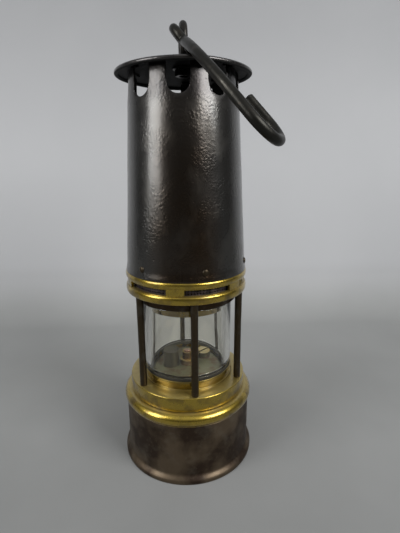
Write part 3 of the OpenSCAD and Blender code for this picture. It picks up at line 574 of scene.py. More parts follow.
def turned_brass(name, colour, stain, gloss):
    """Brass turned on a lathe and handled for years: satin, with fine tool rings and tarnish, paler and rougher where
    it faces up.
    """
    material, tree, place = start_material(name)
    tarnish = patches(tree, place, 9, 0.45, 0.68)
    spots = patches(tree, place, 1.6, 0.6, 0.72, detail=3.0)
    # Faces that look up get a paler tone and more roughness.
    up = add_node(tree, "ShaderNodeNewGeometry").outputs["Normal"]
    up = add_node(tree, "ShaderNodeSeparateXYZ", {"Vector": up}).outputs["Z"]
    flat = add_node(tree, "ShaderNodeMapRange", {"Value": up, "From Min": 0.9, "From Max": 0.98}).outputs["Result"]
    # Tool rings are about 0.1 mm apart; they are drawn coarser so that they show
    rings = patches(tree, place, 60, 0.3, 0.7, detail=2.0, stretch=(1.0, 1.0, 90.0))
    tone = blended(tree, tarnish, colour, stain)
    tone = blended(tree, between(tree, spots, 0.0, 0.25), tone, linear("#4a3c1a"))
    tone = blended(tree, between(tree, flat, 0.0, 0.8), tone, linear("#b3a266"))
    rough = add_node(
        tree, "ShaderNodeMath", {0: between(tree, tarnish, gloss, gloss + 0.14), 1: between(tree, flat, 0.0, 0.25)},
        operation="ADD",
    ).outputs[0]
    return finish_material(material, tree, add_node(tree, "ShaderNodeBsdfPrincipled", {
        "Base Color": tone,
        "Metallic": 1.0,
        "Roughness": rough,
        "Coat Weight": 1.0,
        "Coat Roughness": 0.2,
        "Normal": relief(tree, rings, 0.015, 0.25, relief(tree, tarnish, 0.1, 0.2)),
    }))


def forged_iron(name, colour):
    """Forged and drawn iron rod, oiled and worn: nearly black, with a dull sheen and softly hammered skin."""
    material, tree, place = start_material(name)
    rubbed = patches(tree, place, 6, 0.52, 0.7)
    skin = patches(tree, place, 2.4, 0.3, 0.7, detail=3.0)
    tone = blended(tree, between(tree, rubbed, 0.0, 0.35), colour, linear("#5a564f"))
    tone = blended(tree, between(tree, patches(tree, place, 3, 0.6, 0.7), 0.0, 0.4), tone, linear("#2e1e13"))
    return finish_material(material, tree, add_node(tree, "ShaderNodeBsdfPrincipled", {
        "Base Color": tone,
        "Metallic": 0.8,
        "Roughness": between(tree, rubbed, 0.4, 0.28),
        "Normal": relief(tree, skin, 0.1, 0.4),
    }))


def spun_tinplate(colours):
    """Tinned sheet, spun and dulled by oil and soot: greenish grey with brown splashes."""
    material, tree, place = start_material("spun_tinplate")
    oil = patches(tree, place, 7, 0.48, 0.66)
    tone = blended(tree, oil, colours.tin, linear("#5b4c38"))
    return finish_material(material, tree, add_node(tree, "ShaderNodeBsdfPrincipled", {
        "Base Color": tone,
        "Metallic": 0.6,
        "Roughness": between(tree, oil, 0.34, 0.5),
        "Normal": relief(tree, oil, 0.08, 0.5),
    }))


def ground_steel():
    """Plain ground steel of the inner works: light grey with a fine grain."""
    material, tree, place = start_material("ground_steel")
    grain = patches(tree, place, 1.0, 0.3, 0.7, stretch=(1.0, 1.0, 6.0))
    return finish_material(material, tree, add_node(tree, "ShaderNodeBsdfPrincipled", {
        "Base Color": blended(tree, grain, linear("#8f8c86"), linear("#6c6a65")),
        "Metallic": 1.0,
        "Roughness": between(tree, grain, 0.28, 0.42),
        "Normal": relief(tree, grain, 0.02, 0.4),
    }))


def pressed_glass():
    """Thick pressed soda glass: clear, with a faint warm cast and a soft skin that blurs what lies behind."""
    material, tree, place = start_material("pressed_glass")
    waves = patches(tree, place, 14, 0.2, 0.8, detail=2.0)
    glass = add_node(tree, "ShaderNodeBsdfPrincipled", {
        "Base Color": linear("#fbfaf4"),
        "Metallic": 0.0,
        "Roughness": 0.015,
        "IOR": 1.5,
        "Specular IOR Level": 0.3,
        "Transmission Weight": 1.0,
        "Normal": relief(tree, waves, 0.1, 0.25),
    })
    clear = add_node(tree, "ShaderNodeBsdfTransparent", {"Color": linear("#f6f4ea")})
    shadow = add_node(tree, "ShaderNodeLightPath").outputs["Is Shadow Ray"]
    shader = add_node(tree, "ShaderNodeMixShader", {0: shadow, 1: glass.outputs[0], 2: clear.outputs[0]})
    return finish_material(material, tree, shader)


def woven_gauze(wire_count, pitch_mm):
    """Woven steel wire gauze, sooty: a fine grey mesh that light passes through."""
    material, tree, place = start_material("woven_gauze")
    # Real gauze has a wire every 0.9 mm; this pitch is drawn coarser so that the weave shows
    turn = add_node(tree, "ShaderNodeTexGradient", {"Vector": place}, gradient_type="RADIAL").outputs["Fac"]
    height = add_node(tree, "ShaderNodeSeparateXYZ", {"Vector": place}).outputs["Z"]
    uprights = add_node(tree, "ShaderNodeMath", {0: turn, 1: wire_count * 2 * pi}, operation="MULTIPLY").outputs[0]
    hoops = add_node(tree, "ShaderNodeMath", {0: height, 1: per(pitch_mm) * 2 * pi}, operation="MULTIPLY").outputs[0]
    uprights = add_node(tree, "ShaderNodeMath", {0: uprights}, operation="SINE").outputs[0]
    hoops = add_node(tree, "ShaderNodeMath", {0: hoops}, operation="SINE").outputs[0]
    wire = add_node(tree, "ShaderNodeMath", {0: uprights, 1: hoops}, operation="MAXIMUM").outputs[0]
    solid = add_node(
        tree, "ShaderNodeMapRange", {"Value": wire, "From Min": 0.3, "From Max": 0.5}
    ).outputs["Result"]
    return finish_material(material, tree, add_node(tree, "ShaderNodeBsdfPrincipled", {
        "Base Color": blended(tree, patches(tree, place, 8, 0.4, 0.6), linear("#4f4b48"), linear("#2c2622")),
        "Metallic": 0.8,
        "Roughness": 0.5,
        "Alpha": solid,
        "Normal": relief(tree, wire, 0.2, 0.6),
    }))


def punched_sheet(colours):
    """Sheet metal punched full of holes, dulled by soot: mauve grey."""
    material, tree, place = start_material("punched_sheet")
    soot = patches(tree, place, 5, 0.45, 0.65)
    return finish_material(material, tree, add_node(tree, "ShaderNodeBsdfPrincipled", {
        "Base Color": blended(tree, soot, colours.inlet, linear("#241f21")),
        "Metallic": 0.5,
        "Roughness": between(tree, soot, 0.4, 0.6),
        "Normal": relief(tree, soot, 0.05, 0.5),
    }))


def pressed_fibre():
    """Pressed and graphited fibre gasket: black, matt, with short fibres."""
    material, tree, place = start_material("pressed_fibre")
    fibres = patches(tree, place, 0.8, 0.35, 0.65, stretch=(1.0, 1.0, 3.0))
    return finish_material(material, tree, add_node(tree, "ShaderNodeBsdfPrincipled", {
        "Base Color": blended(tree, fibres, linear("#1e1c17"), linear("#37342a")),
        "Roughness": 0.8,
        "Normal": relief(tree, fibres, 0.1, 0.6),
    }))


def oiled_leather():
    """Tanned leather soaked with oil: dark brown with a soft grain."""
    material, tree, place = start_material("oiled_leather")
    grain = add_node(tree, "ShaderNodeTexVoronoi", {"Vector": place, "Scale": per(0.9)}).outputs["Distance"]
    return finish_material(material, tree, add_node(tree, "ShaderNodeBsdfPrincipled", {
        "Base Color": blended(tree, grain, linear("#2e1b10"), linear("#4d3019")),
        "Roughness": between(tree, grain, 0.4, 0.6),
        "Normal": relief(tree, grain, 0.1, 0.5),
    }))


def spun_cotton(char_level):
    """Spun cotton soaked with oil: off-white strands, scorched brown above a level."""
    material, tree, place = start_material("spun_cotton")
    strands = patches(tree, place, 0.7, 0.35, 0.65, stretch=(1.0, 1.0, 0.3))
    clean = level_mask(tree, place, char_level, char_level + 0.8 * MM)
    tone = blended(tree, strands, linear("#b9ab8c"), linear("#d8cfb6"))
    return finish_material(material, tree, add_node(tree, "ShaderNodeBsdfPrincipled", {
        "Base Color": blended(tree, clean, linear("#55341e"), tone),
        "Roughness": 0.9,
        "Sheen Weight": 0.3,
        "Normal": relief(tree, strands, 0.3, 0.7),
    }))


def studio_paper(colours):
    """Matt grey studio paper, with painted light and shade in its tone: lighter where it stands, darker where it lies
    and darkest in front of the lamp, darker towards the top of the wall. It is seen from its front alone and never
    hides the lamp.
    """
    material, tree, place = start_material("studio_paper")
    mottle = patches(tree, place, 90, 0.3, 0.7, detail=3.0)
    # Painted shade: the lying paper is darker than the standing paper.
    lying_in_shade = level_mask(tree, place, 0.0, 70 * MM)
    low = level_mask(tree, place, 180 * MM, 400 * MM)
    depth = add_node(tree, "ShaderNodeSeparateXYZ", {"Vector": place}).outputs["Y"]
    far = add_node(tree, "ShaderNodeMapRange", {"Value": depth, "From Min": -80 * MM, "From Max": 230 * MM}).outputs["Result"]
    # Painted shade: the standing paper darkens towards its top.
    tone = blended(tree, low, colours.wall_top_shade, colours.wall)
    # Painted shade: the lying paper darkens towards the front of the lamp.
    tone = blended(tree, lying_in_shade, tone, blended(tree, far, colours.paper_front, colours.paper))
    paper = add_node(tree, "ShaderNodeBsdfPrincipled", {
        "Base Color": blended(tree, between(tree, mottle, 0.0, 0.03), tone, WHITE),
        "Roughness": 0.85,
        "Specular IOR Level": 0.3,
    })
    nothing = add_node(tree, "ShaderNodeBsdfTransparent")
    behind = add_node(tree, "ShaderNodeNewGeometry").outputs["Backfacing"]
    shader = add_node(tree, "ShaderNodeMixShader", {0: behind, 1: paper.outputs[0], 2: nothing.outputs[0]})
    return finish_material(material, tree, shader)


def material_of(maker, *values):
    """The material that a maker makes, made once and then shared."""
    key = maker.__name__ + "".join(str(value) for value in values if isinstance(value, str))
    if key not in made_materials:
        made_materials[key] = maker(*values)
    return made_materials[key]


made_materials = {}


def brass(colours):
    """The satin olive brass of the rings."""
    return material_of(turned_brass, "turned_brass", colours.brass, colours.brass_stain, 0.25)


def gold_brass(colours):
    """The warmer brass beside the glass."""
    return material_of(turned_brass, "gold_brass", colours.gold_brass, colours.brass_stain, 0.26)


def iron(colours):
    """The dark iron of pillars, flange and hook."""
    return material_of(forged_iron, "forged_iron", colours.iron)


class LAMP_OT_fuel_vessel(Operator):
    """Dress the fuel vessel: its drawn shell with the flared foot, its brass collar and its bottom"""

    bl_idname = "lamp.fuel_vessel"
    bl_label = "Fuel vessel"

    def execute(self, context):
        sizes = context.scene.lamp_vessel
        colours = context.scene.lamp_finishes
        steel = material_of(drawn_steel, colours)
        foot, shell_top = levels("vessel_shell")
        rim = reach("vessel_shell") - 0.02 * MM
        flare = rim - sizes.shell_radius
        lip = sizes.foot_height / 4
        steps = 12
        outside = [(rim, foot, 0.5 * MM)]
        for i in range(steps + 1):
            share = i / steps
            out = flare * (1 + cos(pi * share)) / 2
            outside.append((sizes.shell_radius + out, foot + lip + (sizes.foot_height - lip) * share))
        outside.append((sizes.shell_radius, shell_top))
        inside = [(point[0] - sizes.sheet, *point[1:]) for point in reversed(outside)]
        shell = turned("fuel_vessel", eased(outside + inside, 0.3 * MM))
        knocked(shell, sizes.knocks, 26 * MM, foot, fade=8 * MM)
        piece("fuel_vessel", shell, steel, "vessel", "base_steel", "vessel_shell")

        collar_foot, neck_top = levels("vessel_collar")
        bead_top = shell_top + sizes.bead_height
        web = shell_top + sizes.bead_height / 2
        bead_out = reach("vessel_collar") - sizes.shell_radius
        bead_start = -acos(1 - bead_out / sizes.bead_round)
        spigot = sizes.shell_radius - sizes.sheet - 0.1 * MM
        bore = sizes.neck_radius - sizes.neck_wall
        bead = arc(reach("vessel_collar") - sizes.bead_round, bead_top - sizes.bead_round, sizes.bead_round,
                   degrees(bead_start), 90, 24)
        outline = [(spigot - sizes.sheet, collar_foot), (spigot, collar_foot), (spigot, shell_top)]
        outline += [(sizes.shell_radius, shell_top), *bead]
        outline += [(sizes.neck_radius, bead_top), (sizes.neck_radius, neck_top), (bore, neck_top)]
        outline += [(bore, web), (spigot - sizes.sheet, web)]
        collar = turned("vessel_bead", eased(outline, 0.3 * MM))
        piece("vessel_bead", collar, brass(colours), "vessel", "brass", "vessel_collar")
        dress(steel, "vessel_bottom")
        return {"FINISHED"}


class LAMP_OT_burner(Operator):
    """Dress the burner: deck, wick and striker tubes, relighter housing, filler plug and wick carrier"""

    bl_idname = "lamp.burner"
    bl_label = "Burner"

    def execute(self, context):
        colours = context.scene.lamp_finishes
        dress(material_of(spun_tinplate, colours), "burner_deck")
        dress(material_of(forged_iron, "relighter_iron", linear("#4a4636")), "relighter_housing")
        red_brass = material_of(turned_brass, "red_brass", colours.red_brass, linear("#45341f"), 0.4)
        dress(red_brass, "wick_tube", "striker_tube")
        dress(material_of(turned_brass, "plug_brass", linear("#57553f"), linear("#3c3928"), 0.5), "filler_plug")
        dress(brass(colours), "wick_carrier")
        return {"FINISHED"}


class LAMP_OT_works(Operator):
    """Dress the spindles, the knobs under the base, the washer and the nut"""

    bl_idname = "lamp.works"
    bl_label = "Works"

    def execute(self, context):
        colours = context.scene.lamp_finishes
        dress(material_of(ground_steel), "wick_spindle", "striker_spindle")
        dress(material_of(forged_iron, "sooty_iron", linear("#171513")), "swivel_washer", "swivel_nut")
        dress(brass(colours), "wick_knob", "striker_knob")
        return {"FINISHED"}


class LAMP_OT_soft_parts(Operator):
    """Dress the soft parts: gaskets, the filler's washer, the wick and the cotton wadding"""

    bl_idname = "lamp.soft_parts"
    bl_label = "Soft parts"

    def execute(self, context):
        sizes = context.scene.lamp_cage
        fibre = material_of(pressed_fibre)
        leather = material_of(oiled_leather)
        gaskets = {
            "lower_gasket": (sizes.gasket_wall, fibre, "cage", "gasket"),
            "upper_gasket": (sizes.gasket_wall, fibre, "cage", "gasket"),
            "vessel_gasket": (sizes.vessel_gasket_wall, leather, "cage_gasket", "leather"),
        }
        for node, (wall, material, body, slot) in gaskets.items():
            low, high = levels(node)
            outer = reach(node)
            bore = outer - wall
            outline = eased([(bore, low), (outer, low), (outer, high), (bore, high)], 0.3 * MM)
            piece(node + "_ring", turned(node, outline), material, body, slot, node)

        low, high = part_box("filler_washer")
        middle = (low + high) / 2
        outer = (high.x - low.x) / 2
        bore = sizes.washer_bore
        outline = eased([(bore, low.z), (outer, low.z), (outer, high.z), (bore, high.z)], 0.2 * MM)
        place = Matrix.Translation((middle.x, middle.y, 0.0))
        washer = turned("plug_washer_ring", outline, [place], SMALL_SIDES)
        piece("plug_washer_ring", washer, leather, "plug_washer", "leather", "filler_washer")

        low, high = levels("wick")
        radius = reach("wick")
        cotton = material_of(spun_cotton, high - 2.2 * MM)
        outline = eased([(0.0, low), (radius, low), (radius, high - 0.3 * MM), (0.0, high)], 0.8 * MM)
        strand = knocked(turned("cotton_wick", outline, sides=SMALL_SIDES), 0.12 * MM, 1.2 * MM)
        piece("cotton_wick", strand, cotton, "wick_slide", "cotton", "wick")

        wad = bpy.data.objects.new("wadding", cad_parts["cotton_wadding"].data.copy())
        context.scene.collection.objects.link(wad)
        remesh = wad.modifiers.new("wad", "REMESH")
        remesh.voxel_size = 1.1 * MM
        settled(wad)
        lumps = knocked(wad.data.copy(), 0.5 * MM, 6 * MM)
        bpy.data.objects.remove(wad)
        lumps.materials.clear()
        piece("cotton_wad", lumps, cotton, "vessel", "cotton", "cotton_wadding")
        return {"FINISHED"}


class LAMP_OT_cage(Operator):
    """Dress the cage's lower ring, the seat ring, the golden ring, the gauze flange and the pillars"""

    bl_idname = "lamp.cage"
    bl_label = "Cage"

    def execute(self, context):
        sizes = context.scene.lamp_cage
        vessel = context.scene.lamp_vessel
        colours = context.scene.lamp_finishes
        low, high = levels("lower_ring")
        outer = reach("lower_ring")
        bore = vessel.neck_radius + 0.08 * MM
        seat = reach("seat_ring") - sizes.seat_lip
        plate = high - sizes.plate
        outline = [(bore, low), (outer, low, sizes.edge / 2), (outer, high, sizes.edge)]
        outline += [(seat + 0.1 * MM, high), (seat + 0.1 * MM, plate), (bore, plate)]
        ring = turned("cage_floor_ring", eased(outline, 0.3 * MM))
        piece("cage_floor_ring", ring, brass(colours), "cage", "brass", "lower_ring")

        seat_low, seat_top = levels("seat_ring")
        groove = seat - sizes.groove_depth
        band = high + sizes.groove_height
        lip = reach("seat_ring")
        lip_top = plate - 0.1 * MM
        seat_bore = reach("lower_gasket") - sizes.glass_wall + 0.4 * MM
        outline = [(seat_bore, seat_low), (lip, seat_low), (lip, lip_top), (seat, lip_top), (seat, high)]
        outline += [(groove, high), (groove, band), (seat, band), (seat, seat_top), (seat_bore, seat_top)]
        gold = gold_brass(colours)
        ring = turned("glass_seat", eased(outline, 0.35 * MM))
        piece("glass_seat", ring, gold, "cage", "gold_brass", "seat_ring")

        low, high = levels("gauze_ring")
        outer = reach("gauze_ring")
        bore = outer - sizes.gauze_ring_wall
        outline = [(bore, low), (outer, low), (outer, high), (bore, high)]
        ring = turned("gauze_seat", eased(outline, 0.35 * MM))
        piece("gauze_seat", ring, gold, "cage", "gold_brass", "gauze_ring")

        low, high = levels("gauze_flange")
        outer = reach("gauze_flange")
        foot = reach("outer_gauze") + 0.1 * MM
        ledge = levels("outer_gauze")[0]
        bore = reach("inner_gauze") - 1.8 * MM
        outline = [(bore, low), (outer, low), (outer, high), (foot, high), (foot, ledge), (bore, ledge)]
        ring = turned("gauze_foot", eased(outline, 0.3 * MM))
        brown = material_of(forged_iron, "flange_iron", linear("#2e2110"))
        piece("gauze_foot", ring, brown, "cage", "dark_iron", "gauze_flange")

        foot, shoulder = levels("lower_ring")[1], levels("upper_ring")[0]
        for number in range(1, sizes.pillar_count + 1):
            node = f"pillar_{number}"
            low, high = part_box(node)
            radius = (high.x - low.x) / 2
            outline = [(0.0, foot), (radius, foot)]
            for i in range(1, 12):
                share = i / 12
                waist = radius - sizes.pillar_waist * sin(pi * share)
                outline.append((waist, foot + (shoulder - foot) * share))
            outline += [(radius, shoulder), (0.0, shoulder)]
            place = Matrix.Translation(((low.x + high.x) / 2, (low.y + high.y) / 2, 0.0))
            rod = knocked(turned(node, eased(outline, 0.25 * MM), [place], SMALL_SIDES), 0.05 * MM, 5 * MM)
            piece(f"pillar_rod_{number}", rod, iron(colours), "cage", "dark_iron", node)
        return {"FINISHED"}


class LAMP_OT_glass(Operator):
    """Dress the thick glass, with its fire-polished ends"""

    bl_idname = "lamp.glass"
    bl_label = "Glass"

    def execute(self, context):
        sizes = context.scene.lamp_cage
        low, high = levels("glass")
        outer = reach("glass")
        bore = outer - sizes.glass_wall
        outline = eased([(bore, low), (outer, low), (outer, high), (bore, high)], sizes.glass_edge, steps=6)
        piece("lamp_glass", turned("lamp_glass", outline), material_of(pressed_glass), "cage", "lamp_glass", "glass")
        return {"FINISHED"}


class LAMP_OT_gauzes(Operator):
    """Dress the two gauzes inside the bonnet"""

    bl_idname = "lamp.gauzes"
    bl_label = "Gauzes"

    def execute(self, context):
        sizes = context.scene.lamp_cage
        taper = sizes.gauze_taper
        wall = sizes.gauze_sheet
        weave = material_of(woven_gauze, 130, 1.25)
        for node in ("outer_gauze", "inner_gauze"):
            low, high = levels(node)
            foot = reach(node)
            outline = [(foot - wall, low), (foot, low), (foot - taper, high), (0.0, high)]
            outline += [(0.0, high - wall), (foot - taper - wall, high - wall)]
            mesh = turned(node, eased(outline, 0.6 * MM))
            piece(node + "_weave", mesh, weave, "cage", "gauze", node)
        return {"FINISHED"}


class LAMP_OT_air_ring(Operator):
    """Dress the upper ring with its air slots and the perforated inlet behind them"""

    bl_idname = "lamp.air_ring"
    bl_label = "Air ring"

    def execute(self, context):
        sizes = context.scene.lamp_air_ring
        colours = context.scene.lamp_finishes
        low, spigot_top = levels("upper_ring")
        outer = reach("upper_ring")
        bore = reach("outer_gauze") + 0.3 * MM
        band_low = low + sizes.plate_height
        band_high = band_low + sizes.band_height
        top = band_high + sizes.bead_height
        band_bore = sizes.band_radius - sizes.band_wall
        spigot_bore = sizes.spigot_radius - sizes.spigot_wall
        groove = sizes.band_radius - sizes.slot_sill
        outline = [(bore, low), *self.bulge(sizes.band_radius, outer, low, band_low)]
        outline += [(groove, band_low), (groove, band_low + sizes.slot_sill)]
        outline += [(sizes.band_radius, band_low + sizes.slot_sill), *self.bulge(sizes.band_radius, outer, band_high, top)]
        outline += [(sizes.spigot_radius, top), (sizes.spigot_radius, spigot_top), (spigot_bore, spigot_top)]
        outline += [(spigot_bore, band_high), (band_bore, band_high), (band_bore, band_low), (bore, band_low)]
        ring = piece("air_ring", turned("air_ring", eased(outline, 0.25 * MM)), brass(colours), "cage", "brass",
                     "upper_ring")
        slot_low = band_low + sizes.slot_sill
        slot_high = slot_low + sizes.slot_height
        cutter = bpy.data.objects.new("slots", self.slots(sizes, band_bore - MM, outer + MM, slot_low, slot_high))
        context.scene.collection.objects.link(cutter)
        cut = ring.modifiers.new("slots", "BOOLEAN")
        cut.operation = "DIFFERENCE"
        cut.solver = "EXACT"
        cut.object = cutter
        settled(ring)
        bpy.data.objects.remove(cutter)

        inlet_low, inlet_high = levels("inlet_ring")
        mesh = self.perforated(sizes, reach("inlet_ring"), bore, inlet_low, inlet_high)
        inlet = piece("inlet_band", mesh, material_of(punched_sheet, colours), "cage", "gauze", "inlet_ring")
        thicken(inlet, sizes.inlet_sheet, 0.05 * MM)
        return {"FINISHED"}

    def bulge(self, inner, outer, low, high):
        """Points of a bead that bulges from one radius to another between two heights."""
        turns = [pi * (i / 16 - 0.5) for i in range(17)]
        return [(inner + (outer - inner) * cos(t), (low + high) / 2 + (high - low) / 2 * sin(t)) for t in turns]

    def slots(self, sizes, inner, outer, low, high):
        """The blocks that the slots are cut with."""
        steps = 16
        shape = bmesh.new()
        for number in range(sizes.slot_count):
            middle = sizes.slot_bearing + 2 * pi * number / sizes.slot_count
            rows = []
            for i in range(steps + 1):
                bearing = middle + sizes.slot_angle * (i / steps - 0.5)
                corners = [(inner, low), (outer, low), (outer, high), (inner, high)]
                rows.append([shape.verts.new(at_bearing(bearing, r, z)) for r, z in corners])
            for near, far in zip(rows, rows[1:]):
                for i in range(4):
                    shape.faces.new((near[i], near[(i + 1) % 4], far[(i + 1) % 4], far[i]))
            shape.faces.new(rows[0][::-1])
            shape.faces.new(rows[-1])
        return finished("slots", shape)

    def perforated(self, sizes, outer, inner, low, high):
        """An upright band and a shelf in one sheet, punched with holes in rows."""
        hole_share = 0.31
        wall = high - low
        path_length = wall + outer - inner
        shape = bmesh.new()
        corners = {}

        def spot(column, row):
            along = path_length * row / sizes.hole_rows
            bearing = 2 * pi * column / sizes.hole_count
            if along < wall:
                return at_bearing(bearing, outer, low + along)
            return at_bearing(bearing, outer - (along - wall), high)

        def corner(column, row):
            key = (column % (2 * sizes.hole_count), row)
            if key not in corners:
                corners[key] = shape.verts.new(spot(column / 2, row / 2))
            return corners[key]

        ways = [(-1, -1), (0, -1), (1, -1), (1, 0), (1, 1), (0, 1), (-1, 1), (-1, 0)]
        for column in range(sizes.hole_count):
            for row in range(sizes.hole_rows):
                rim = [corner(2 * column + 1 + x, 2 * row + 1 + y) for x, y in ways]
                hole = []
                for x, y in ways:
                    share = hole_share / sqrt(x * x + y * y)
                    hole.append(shape.verts.new(spot(column + 0.5 + x * share, row + 0.5 + y * share)))
                for i in range(8):
                    j = (i + 1) % 8
                    shape.faces.new((rim[i], rim[j], hole[j], hole[i]))
        return finished("inlet_band", shape, mend=False)


class LAMP_OT_bonnet(Operator):
    """Dress the bonnet: one tapered sheet with U openings round its top, tabs turned in under the cap, and rivets"""

    bl_idname = "lamp.bonnet"
    bl_label = "Bonnet"

    def execute(self, context):
        sizes = context.scene.lamp_bonnet
        colours = context.scene.lamp_finishes
        foot, _ = levels("bonnet")
        mesh = knocked(self.sheet(sizes), sizes.knocks, 34 * MM, foot)
        bonnet = piece("bonnet_sheet", mesh, material_of(blackened_steel, colours), "cage", "bonnet_steel", "bonnet")
        thicken(bonnet, sizes.sheet, 0.2 * MM)

        radius = self.radius(sizes, sizes.rivet_up)
        head = [(sizes.rivet_radius * cos(radians(a)), sizes.rivet_head * sin(radians(a))) for a in range(0, 91, 15)]
        outline = [(0.0, -MM), (sizes.rivet_radius / 2, -MM), (sizes.rivet_radius / 2, 0.0), *head]
        places = []
        for number in range(sizes.rivet_count):
            bearing = sizes.rivet_bearing + 2 * pi * number / sizes.rivet_count
            out = Matrix.Translation(at_bearing(bearing, radius, foot + sizes.rivet_up))
            places.append(out @ Matrix.Rotation(bearing, 4, "Z") @ Matrix.Rotation(pi / 2, 4, "X"))
        rivets = turned("rivet_heads", outline, places, SMALL_SIDES)
        piece("rivet_heads", rivets, iron(colours), "cage", "dark_iron", "bonnet_rivets")
        return {"FINISHED"}

    def radius(self, sizes, up):
        """Outer radius of the bonnet at a height above its foot."""
        taper = sizes.foot_radius - (sizes.foot_radius - sizes.top_radius) * up / sizes.height
        if up < sizes.flare_height:
            taper += sizes.flare * (1 + cos(pi * up / sizes.flare_height)) / 2
        return taper

    def sheet(self, sizes):
        """The sheet without its thickness. Its columns follow the sides of the openings."""
        steps = 12
        rows = 40
        foot, lip_top = levels("bonnet")
        top = foot + sizes.height
        half = sizes.opening_width / 2
        sill = top - sizes.opening_depth + half
        shape = bmesh.new()

        def bearing(opening, share, in_tab, radius):
            middle = sizes.opening_bearing + 2 * pi * opening / sizes.opening_count
            side = asin(half / radius)
            if in_tab:
                return middle + pi / sizes.opening_count + share * (pi / sizes.opening_count - side)
            return middle + asin(half * sin(share * pi / 2) / radius)

        columns = []
        for opening in range(sizes.opening_count):
            for in_tab in (False, True):
                for i in range(steps):
                    columns.append((opening, 2 * i / steps - 1, in_tab))
        grid = []
        for opening, share, in_tab in columns:
            split = sill if in_tab else sill - half * cos(share * pi / 2)
            ups = [sizes.flare_height * i / 6 for i in range(6)]
            ups += [sizes.flare_height + (split - foot - sizes.flare_height) * i / rows for i in range(rows + 1)]
            line = []
            for up in ups:
                radius = self.radius(sizes, up)
                line.append(shape.verts.new(at_bearing(bearing(opening, share, in_tab, radius), radius, foot + up)))
            grid.append(line)
        for near, far in zip(grid, grid[1:] + grid[:1]):
            for i in range(len(near) - 1):
                shape.faces.new((near[i], far[i], far[i + 1], near[i + 1]))

        fold = sizes.fold
        tab_rows = 6
        straight = [sill + (top - fold - sill) * i / tab_rows for i in range(1, tab_rows + 1)]
        turn = arc(sizes.top_radius - fold, top - fold, fold, 15, 90, 5)
        lip_r = sizes.top_radius - sizes.lip
        ends = [(lip_r + (sizes.top_radius - fold - lip_r) / 2, (top + lip_top) / 2), (lip_r, lip_top)]
        path = [(self.radius(sizes, z - foot), z) for z in straight] + turn + ends
        for opening in range(sizes.opening_count):
            lines = []
            for i in range(steps + 1):
                column = (2 * opening + 1) * steps + i
                line = [grid[column % len(grid)][-1]]
                for radius, height in path:
                    way = bearing(opening, 2 * i / steps - 1, True, radius)
                    line.append(shape.verts.new(at_bearing(way, radius, height)))
                lines.append(line)
            for near, far in zip(lines, lines[1:]):
                for i in range(len(near) - 1):
                    shape.faces.new((near[i], far[i], far[i + 1], near[i + 1]))
        return finished("bonnet_sheet", shape, mend=False)


class LAMP_OT_cap(Operator):
    """Dress the cap: a shallow lid with a rolled rim"""

    bl_idname = "lamp.cap"
    bl_label = "Cap"

    def execute(self, context):
        sizes = context.scene.lamp_cap
        colours = context.scene.lamp_finishes
        low, top = levels("cap")
        roll_r = reach("cap") - sizes.roll
        rim = top - sizes.rise
        steps = 20
        crown = []
        for i in range(steps + 1):
            share = i / steps
            crown.append((roll_r * share, rim + sizes.rise * (1 - share * share)))
        roll = arc(roll_r, rim - sizes.roll, sizes.roll, 90, -195, 18)
        under = [(r, z - sizes.sheet) for r, z in reversed(crown) if r < roll_r - sizes.roll]
        mesh = knocked(turned("cap_lid", crown + roll[1:] + under), sizes.knocks, 30 * MM)
        piece("cap_lid", mesh, material_of(blackened_steel, colours), "cage", "bonnet_steel", "cap")
        return {"FINISHED"}


